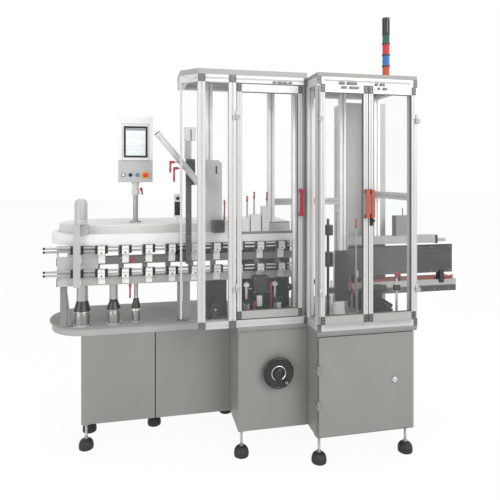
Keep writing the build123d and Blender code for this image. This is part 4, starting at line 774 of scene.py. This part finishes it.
for x0, x1, z0, z1 in ((-598, -532, 1559, 1626), (-577, -505, 1508, 1592)):
    z, reach = z1 - 7, x1 - x0 - 24
    spindles.turned([(0, 0), (5.4, 0), (5.4, 5), (3.4, 6), (3.4, reach), (0, reach)], (x1, -135, z), LEFT, 16)
    levers.turned([(0, 0), (6.2, 0), (7.4, 1.5), (7.4, 17), (8, 19), (8, 26), (6, 29), (0, 29)],
                  (x0 + 31, -135, z), LEFT, 18)
    levers.tube([(x0 + 8, -135, z), (x0 + 7, -135, z - 13), (x0 + 6.5, -135, z - 27),
                 (x0 + 6.5, -135, z0 + 14), (x0 + 6.5, -135, z0)], [7.4, 5.8, 5.2, 6.6, 3.4], 12)
make("magazine_spindles", spindles, STEEL)
levers.turned([(0, 0), (6.4, 0), (7, 1), (7, 20), (5, 23), (0, 23)], (484, -165, 840), UP, 18)
levers.tube([(482, -165, 858), (473, -165, 876), (467, -165, 896), (466, -165, 915), (466, -165, 923)],
            [7.0, 6.0, 5.6, 6.8, 3.0], 12)
levers.turned([(0, 0), (7, 0), (8, 4), (6.5, 14), (7, 24), (9, 32), (9.6, 42), (8, 47), (0, 48)],
              (-796.7, -14, 1064), FRONT, 12)
levers.tube([(-796.7, -52, 1064), (-796.7, -56, 1072), (-796.7, -57, 1080), (-796.7, -57, 1086)],
            [7.0, 6.0, 6.4, 3.0], 12)
levers.turned([(0, 0), (7.4, 0), (8, 1), (8, 18), (6, 21), (0, 21)], (-811, 4, 927), DOWN, 18)
levers.tube([(-811, 2, 912), (-811, -4, 892), (-811, -6, 870), (-811, -6, 852), (-811, -6, 844)],
            [6.6, 5.4, 5.0, 6.2, 3.0], 12)
levers.turned([(0, 0), (9, 0), (10, 2), (10, 16), (14, 20), (14, 30), (11, 34), (0, 34)],
              (655, -370, 968), UP, 12)
levers.turned([(0, 0), (9, 0), (10, 1), (10, 12), (7, 16), (0, 16)], (1201, -4, 868), UP, 18)
levers.tube([(1203, -4, 879), (1222, -4, 884), (1242, -4, 888), (1256, -4, 890), (1262, -4, 890)],
            [5.6, 4.4, 4.6, 5.2, 2.4], 12)
piece = make("clamping_levers", levers, CRIMSON)
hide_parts("clamp_levers")

# ---- magazine
slope = Vector((268, 0, -322)).normalized()  # down the sloping beam
rise = Vector((-slope.z, 0, slope.x))
start = Vector((-663, -128, 1781))
a, b = start + slope * 12, start + slope * 405
marks = Shape()
for shift in (-9, 9):
    edge_a, edge_b = a + rise * shift, b + rise * shift
    corners = (edge_a - rise * 0.6, edge_b - rise * 0.6, edge_b + rise * 0.6, edge_a + rise * 0.6)
    marks.prism([(p.x, p.z) for p in corners], 1, -128.5, -127.6)
a = start - slope * 2
corners = (a - rise * 16, a + slope * 5 - rise * 16, a + slope * 5 + rise * 16, a + rise * 16)
marks.prism([(p.x, p.z) for p in corners], 1, -129, -101)
marks.box((-476, -102.6, 1742), (-470, -101.6, 1808), 0.3)
marks.box((-323, -35.6, 1554), (-313, -34.4, 1601), 0.3)
make("magazine_dark_marks", marks, BLACK)
heads = Shape()
heads.bolts((-507, -452), -102, (1748, 1812), 3.0, 2.0)
heads.bolts((-496, -456), -102, (1500, 1630), 3.0, 2.0)
heads.bolts((-392, -292), -35, (1235,), 3.2, 2.2)
heads.bolts((-392,), -35, (1600,), 3.2, 2.2)
heads.bolts((-485,), -92, range(1080, 1681, 120), 3.0, 2.0)
heads.bolts((-341, -289), -115, (1225, 1280), 2.8, 1.8)
make("magazine_screws", heads, CHROME)
sensor = Shape()
sensor.turned([(0, 0.5), (7, 0.5), (8.4, 2.4), (9.6, 2.4), (10, 0), (0, 0)], (-538, 35, 1410), FRONT, 24)
sensor.box((-556, 34.2, 1310), (-520, 35.4, 1390), 0.4)
make("magazine_sensor_lens", sensor, BLACK)

# ---- format parts and drives
fins = Shape()
for z0, z1 in ((1016, 1092), (1198, 1252)):
    for k in range((z1 - z0) // 7):
        fins.turned([(27, 0), (31, 0.5), (31, 2.5), (27, 3)], (325, -165, z0 + 7 * k), UP, 32, True)
for z in range(870, 951, 8):
    fins.box((-111, -121.6, z), (-23, -119.8, z + 3), 0.6)
for x in (-222, -190, 20, 60, 100, 140):
    fins.box((x - 5, 38.6, 722), (x + 5, 40.2, 922), 0.7)
make("drive_fins", fins, DARK)
heads = Shape()
for x, z1 in ((-79.5, 1312), (-141.5, 1290), (-19, 1360), (-266, 1280)):
    heads.bolts((x,), -33, (1228, z1 - 14), 3.2, 2.0)
heads.bolts((-105, -29), -120, (871, 951), 3.2, 2.4)
heads.turned([(0, 3), (10, 3), (13, 1.6), (13, -0.5), (0, -0.5)], (325, -165, 1290), UP, 24)
heads.bolts((352, 422), -215, (1096, 830), 3.0, 2.0)
for x, y in ((480, -200), (560, -200), (480, -100), (560, -100), (250, -380), (250, -330)):
    heads.bolt((x, y, DECK), UP, 4.0, 3.0)
make("format_screws", heads, CHROME)
edge = Shape()
edge.box((342.4, -216, 816), (345.4, -204, 1107), 0.8)
edge.prism([(580, 840), (582, 838), (696, 762), (696, 765)], 1, -249, -151)
make("opener_edge_strip", edge, PROFILE)
stands = Shape()
for x in (383, 444, 502, 476):
    stands.turned([(6.2, 0), (14, 0), (14, 8), (12, 10), (7.5, 12), (7.5, 20), (6.2, 20)],
                  (x, -165, DECK), UP, 24, True)
for x in (-114, -17):
    stands.turned([(7, 0), (11, 0), (11, 4), (10, 5), (7, 5)], (x, -143, DECK), UP, 24, True)
make("rod_collars", stands, STEEL)
dish = Shape().turned([(0, 0), (6, 0), (7, 3), (15, 8), (22, 10), (22, 12), (14, 10.4), (5, 6), (0, 5)],
                      (383, -165, 1332), UP, 28)
make("opener_suction_dish", dish, PLASTIC)

# ---- outfeed
OUTFEED_FRONT = -15
heads = Shape()
heads.bolts(range(530, 1217, 98), OUTFEED_FRONT, (808, 852), 3.6, 2.4)
heads.bolts(range(535, 1226, 138), OUTFEED_FRONT, (930, 1082), 3.2, 2.0)
heads.bolts((560, 780, 1000, 1100), OUTFEED_FRONT, (1134,), 3.4, 2.2)
make("outfeed_bolts", heads, CHROME)
trim = Shape()
trim.box((515, OUTFEED_FRONT - 1, 1091), (1244, -8, 1097), 0.8)
trim.box((516, -9.2, 832.8), (1273, -8.4, 833.4), 0)
trim.bolts((555, 865, 1160), OUTFEED_FRONT - 2, (900,), 4.0, 3.0)
make("outfeed_dark_trim", trim, BLACK)
roller = Shape().turned([(0, 0), (4, 0), (4, 3), (5, 3.6), (5, 82), (4, 83), (4, 86), (0, 86)],
                        (1266, 6, 872.5), REAR, 24)
make("outfeed_end_roller", roller, STEEL)

# ---- cabinets
lines = Shape()
lines.box((-670.2, -17.0, 152), (-667.8, -15, 645), 0.3)
lines.ring((166, -439.2, 155), (721, -437.6, 687), 1.2)
make("cabinet_seams", lines, RUBBER)
middle_back = (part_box("base_cabinet_middle")[1] / MM).y
left_back = (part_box("base_cabinet_left")[1] / MM).y
right_back = (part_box("base_cabinet_right")[1] / MM).y
doors, locks = Shape(), Shape()
for x0, x1, y in ((-1060, -685, left_back), (-653, -250, left_back), (-216, 146, middle_back),
                  (180, 436, right_back), (446, 704, right_back)):
    doors.box((x0, y - 0.5, 175), (x1, y + 2.0, 630), 1.2)
    for z in range(250, 363, 16):
        doors.prism([(y + 1.8, z), (y + 7.5, z), (y + 7.5, z + 1.6), (y + 1.8, z + 9)], 0, x0 + 70, x1 - 70)
    for z in (230, 580):
        locks.turned([(0, 4), (3, 4), (3.2, 6), (9, 6), (11, 4.4), (11, 0), (0, 0)],
                     (x1 - 26, y + 2, z), REAR, 24)
        locks.rod(5, 44, (x0 + 4, y + 4, z - 22), steps=14)
make("cabinet_rear_doors", doors, GREY)
make("cabinet_rear_locks", locks, CHROME)

side = Shape()
side.box((568, 329, 727), (831, 332.4, 2012), 1.4)
for z in range(860, 1030, 13):
    side.prism([(331.6, z), (336.4, z), (336.4, z + 1.6), (331.6, z + 8)], 0, 620, 780)
make("enclosure_rear_door", side, CABINET)
fittings = Shape()
for z in (800, 1370, 1940):
    fittings.rod(6, 60, (571, 336, z - 30))
for z in (1100, 1640):
    fittings.turned([(0, 4), (3, 4), (3.2, 6), (10, 6), (12, 4), (12, 0), (0, 0)], (808, 332, z), REAR, 24)
for k in range(4):
    fittings.turned([(0, 0), (14, 0), (14, 7), (10.5, 10), (10.5, 16), (9, 18), (0, 18)],
                    (610 + 58 * k, 222, 2022), UP, 6 if k % 2 else 18)
make("enclosure_fittings", fittings, CHROME)

# ---- levelling feet
PAD = [(0, 0), (35, 0), (39.5, 3), (41, 10), (40.5, 26), (37, 39), (30, 49), (20, 55), (12, 57), (0, 57)]
NUT = [(0, 0), (11.5, 0), (13, 1.2), (13, 8.8), (11.5, 10), (0, 10)]
SPINDLE = [(0, 55), (7.4, 55)]
for k in range(18):
    SPINDLE += [(7.4, 73 + 3.6 * k), (6.5, 74.8 + 3.6 * k)]
SPINDLE += [(7.4, 141), (7.4, 149.5), (0, 149.5)]
SMALLEST_PAD = 70  # a foot's other solids are narrower
pads, stems = Shape(), Shape()
for low, high in solids("levelling_feet"):
    if high.x - low.x <= SMALLEST_PAD:
        continue
    x, y = (low.x + high.x) / 2, (low.y + high.y) / 2
    pads.turned(PAD, (x, y, 0), UP, 32)
    for u, v in circle(37.5, 10):
        pads.turned([(0, 0), (3.4, 0), (3.4, 20), (1.5, 24), (0, 24)], (x + u, y + v, 7), UP, 8)
    stems.turned(SPINDLE, (x, y, 0), UP, 16)
    for z in (131.5, 56):
        stems.turned(NUT, (x, y, z), UP, 6)
    stems.box((x - 22, y - 22, 142), (x + 22, y + 22, 150), 1.0)
piece = make("feet_pads", pads, RUBBER)
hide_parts("levelling_feet")
make("feet_spindles", stems, STEEL)

# ---- drives on the decks
PULLEY = [(0, 0), (30, 0), (32, 1), (32, 4), (28, 5), (28, 15), (32, 16), (32, 19), (30, 20), (0, 20)]
PULLEY_Y, SHAFT_Y = -60, -95
dark, bright = Shape(), Shape()
for x, z, size in ((-330, 770, 1.0), (-200, 850, 0.8), (60, 790, 1.1), (110, 880, 0.7)):
    dark.turned([(radius * size, along) for radius, along in PULLEY], (x, PULLEY_Y, z), FRONT, 28)
    bright.turned([(0, 0), (7, 0), (7, 100), (6, 102), (0, 102)], (x, PULLEY_Y - 24, z), REAR, 16)
    dark.box((x - 14, -44, DECK), (x + 14, -30, z + 14), 2.0)
bright.box((-130, -62, 874), (-10, -50, 880), 1.0)
for x in (-150, 20):
    bright.turned([(0, 0), (9, 0), (9, 205), (7, 207), (0, 207)], (x, SHAFT_Y, DECK), UP, 20)
    dark.turned([(9, 0), (15, 0), (15, 26), (9, 28)], (x, SHAFT_Y, 800), UP, 24, True)
for x0, x1, y0, y1, z1 in ((40, 128, -130, -75, 768), (-225, -175, -140, -80, 790),
                           (190, 290, -300, -220, 760), (590, 690, -130, -60, 850)):
    dark.box((x0, y0, DECK), (x1, y1, z1), 3.0)
    for k in range(4):
        x = x0 + 4 + (x1 - x0 - 12) * k / 4
        dark.box((x, y0 - 2, 726), (x + 4, y0 + 1, z1 - 6), 0.8)
dark.turned([(0, 0), (24, 0), (26, 2), (26, 90), (22, 96), (22, 120), (12, 124), (0, 124)],
            (560, -190, 870), RIGHT, 28)
dark.box((600, -205, DECK), (650, -175, 850), 2.0)
for x, y in ((240, -120), (270, -360), (530, -120), (655, -370)):
    bright.turned([(0, 0), (16, 0), (16, 6), (7, 8), (7, 250), (5, 252), (0, 252)], (x, y, DECK), UP, 20)
    dark.box((x - 16, y - 14, 900), (x + 16, y + 14, 930), 2.0)
for k in range(5):
    dark.turned([(0, 0), (11, 0), (12, 1), (12, 99), (11, 100), (0, 100)],
                (596 + 22 * k, -150, 838 - 14 * k), FRONT, 20)
# Dark sheet filling the gap between the lower and the upper beam: painted shade of the interior behind.
dark.box((-240, 20, 973), (147, 26, 1043), 1.0)
make("deck_drives_and_shade_sheet", dark, DARK)
make("deck_shafts", bright, CHROME)
light = Shape()
for low, high in (((-160, -70, DECK), (-128, -50, 800)), ((-96, -134, 790), (-66, -120, 850)),
                  ((28, -118, 768), (52, -100, 800)), ((95, -60, DECK), (120, -40, 760)),
                  ((-230, -120, 790), (-205, -100, 815)), ((205, -306, 725), (250, -298, 750)),
                  ((610, -136, 790), (670, -128, 840))):
    light.box(low, high, 1.5)
for x in (-150, 20):
    light.turned([(9, 0), (17, 0), (17, 14), (15, 16), (9, 16)], (x, SHAFT_Y, 900), UP, 24, True)
make("deck_light_blocks", light, PLASTIC)
edging = Shape()
edging.box((-240, -36.2, 1197), (147.5, -34.6, 1212.4), 0.4)
edging.box((-398, 24, 1255), (147.5, 25.6, BAND_TOP), 0.4)
make("band_dark_edging", edging, GREY_PLASTIC)

# ---- camera, light and stage
camera_data = bpy.data.cameras.new("camera")
camera_data.lens = 36.29
camera_data.sensor_width = 36.0
camera_data.shift_y = -0.148
camera = bpy.data.objects.new("camera", camera_data)
camera.location = (-0.755, -2.965, 1.542)
camera.rotation_euler = (math.radians(90), 0, math.radians(-12.3))
scene.collection.objects.link(camera)
scene.camera = camera


def area_light(name, place_at, aim, size, power):
    data = bpy.data.lights.new(name, "AREA")
    data.shape = "RECTANGLE"
    data.size = size[0]
    data.size_y = size[1]
    data.energy = power
    lamp = bpy.data.objects.new(name, data)
    lamp.location = place_at
    lamp.rotation_euler = (Vector(aim) - Vector(place_at)).to_track_quat("-Z", "Y").to_euler()
    scene.collection.objects.link(lamp)


area_light("key", (2.6, -5.4, 4.2), (0.0, 0.0, 1.0), (4.0, 4.0), 300.0)
area_light("fill", (-5.0, -3.2, 2.6), (-0.2, 0.0, 1.0), (3.0, 3.0), 130.0)
area_light("top", (0.2, 0.4, 5.6), (0.0, 0.0, 1.0), (4.0, 3.0), 130.0)

world = bpy.data.worlds.new("studio")
scene.world = world
world.use_nodes = True
tree = world.node_tree
background = tree.nodes["Background"]
background.inputs["Color"].default_value = (1, 1, 1, 1)


def seen_rays(tree):
    """1 for rays from the camera and for those seen in metal and through glass, else 0."""
    path = tree.nodes.new("ShaderNodeLightPath")
    total = path.outputs["Is Camera Ray"]
    for other in ("Is Glossy Ray", "Is Transmission Ray"):
        node = tree.nodes.new("ShaderNodeMath")
        node.operation = "MAXIMUM"
        tree.links.new(total, node.inputs[0])
        tree.links.new(path.outputs[other], node.inputs[1])
        total = node.outputs[0]
    return total


tree.links.new(between(tree, seen_rays(tree), 0.62, 1.0), background.inputs["Strength"])

floor_mesh = bpy.data.meshes.new("floor")
floor_mesh.from_pydata([(-30, -30, 0), (30, -30, 0), (30, 30, 0), (-30, 30, 0)], [], [(0, 1, 2, 3)])
floor = bpy.data.objects.new("floor", floor_mesh)
scene.collection.objects.link(floor)
floor_material, tree, shader = new_material("pale_floor")
uneven = ramp(tree, noise(tree, place(tree), 1.5), [(0.3, (0.86, 0.86, 0.86)), (0.7, (0.88, 0.88, 0.88))])
tree.links.new(uneven, shader.inputs["Base Color"])
shader.inputs["Roughness"].default_value = 0.9
glow = tree.nodes.new("ShaderNodeEmission")
mix = tree.nodes.new("ShaderNodeMixShader")
tree.links.new(between(tree, seen_rays(tree), 0.0, 0.94), mix.inputs["Fac"])
tree.links.new(shader.outputs["BSDF"], mix.inputs[1])
tree.links.new(glow.outputs["Emission"], mix.inputs[2])
tree.links.new(mix.outputs["Shader"], tree.nodes["Material Output"].inputs["Surface"])
floor_mesh.materials.append(floor_material)

scene.view_settings.view_transform = "Standard"
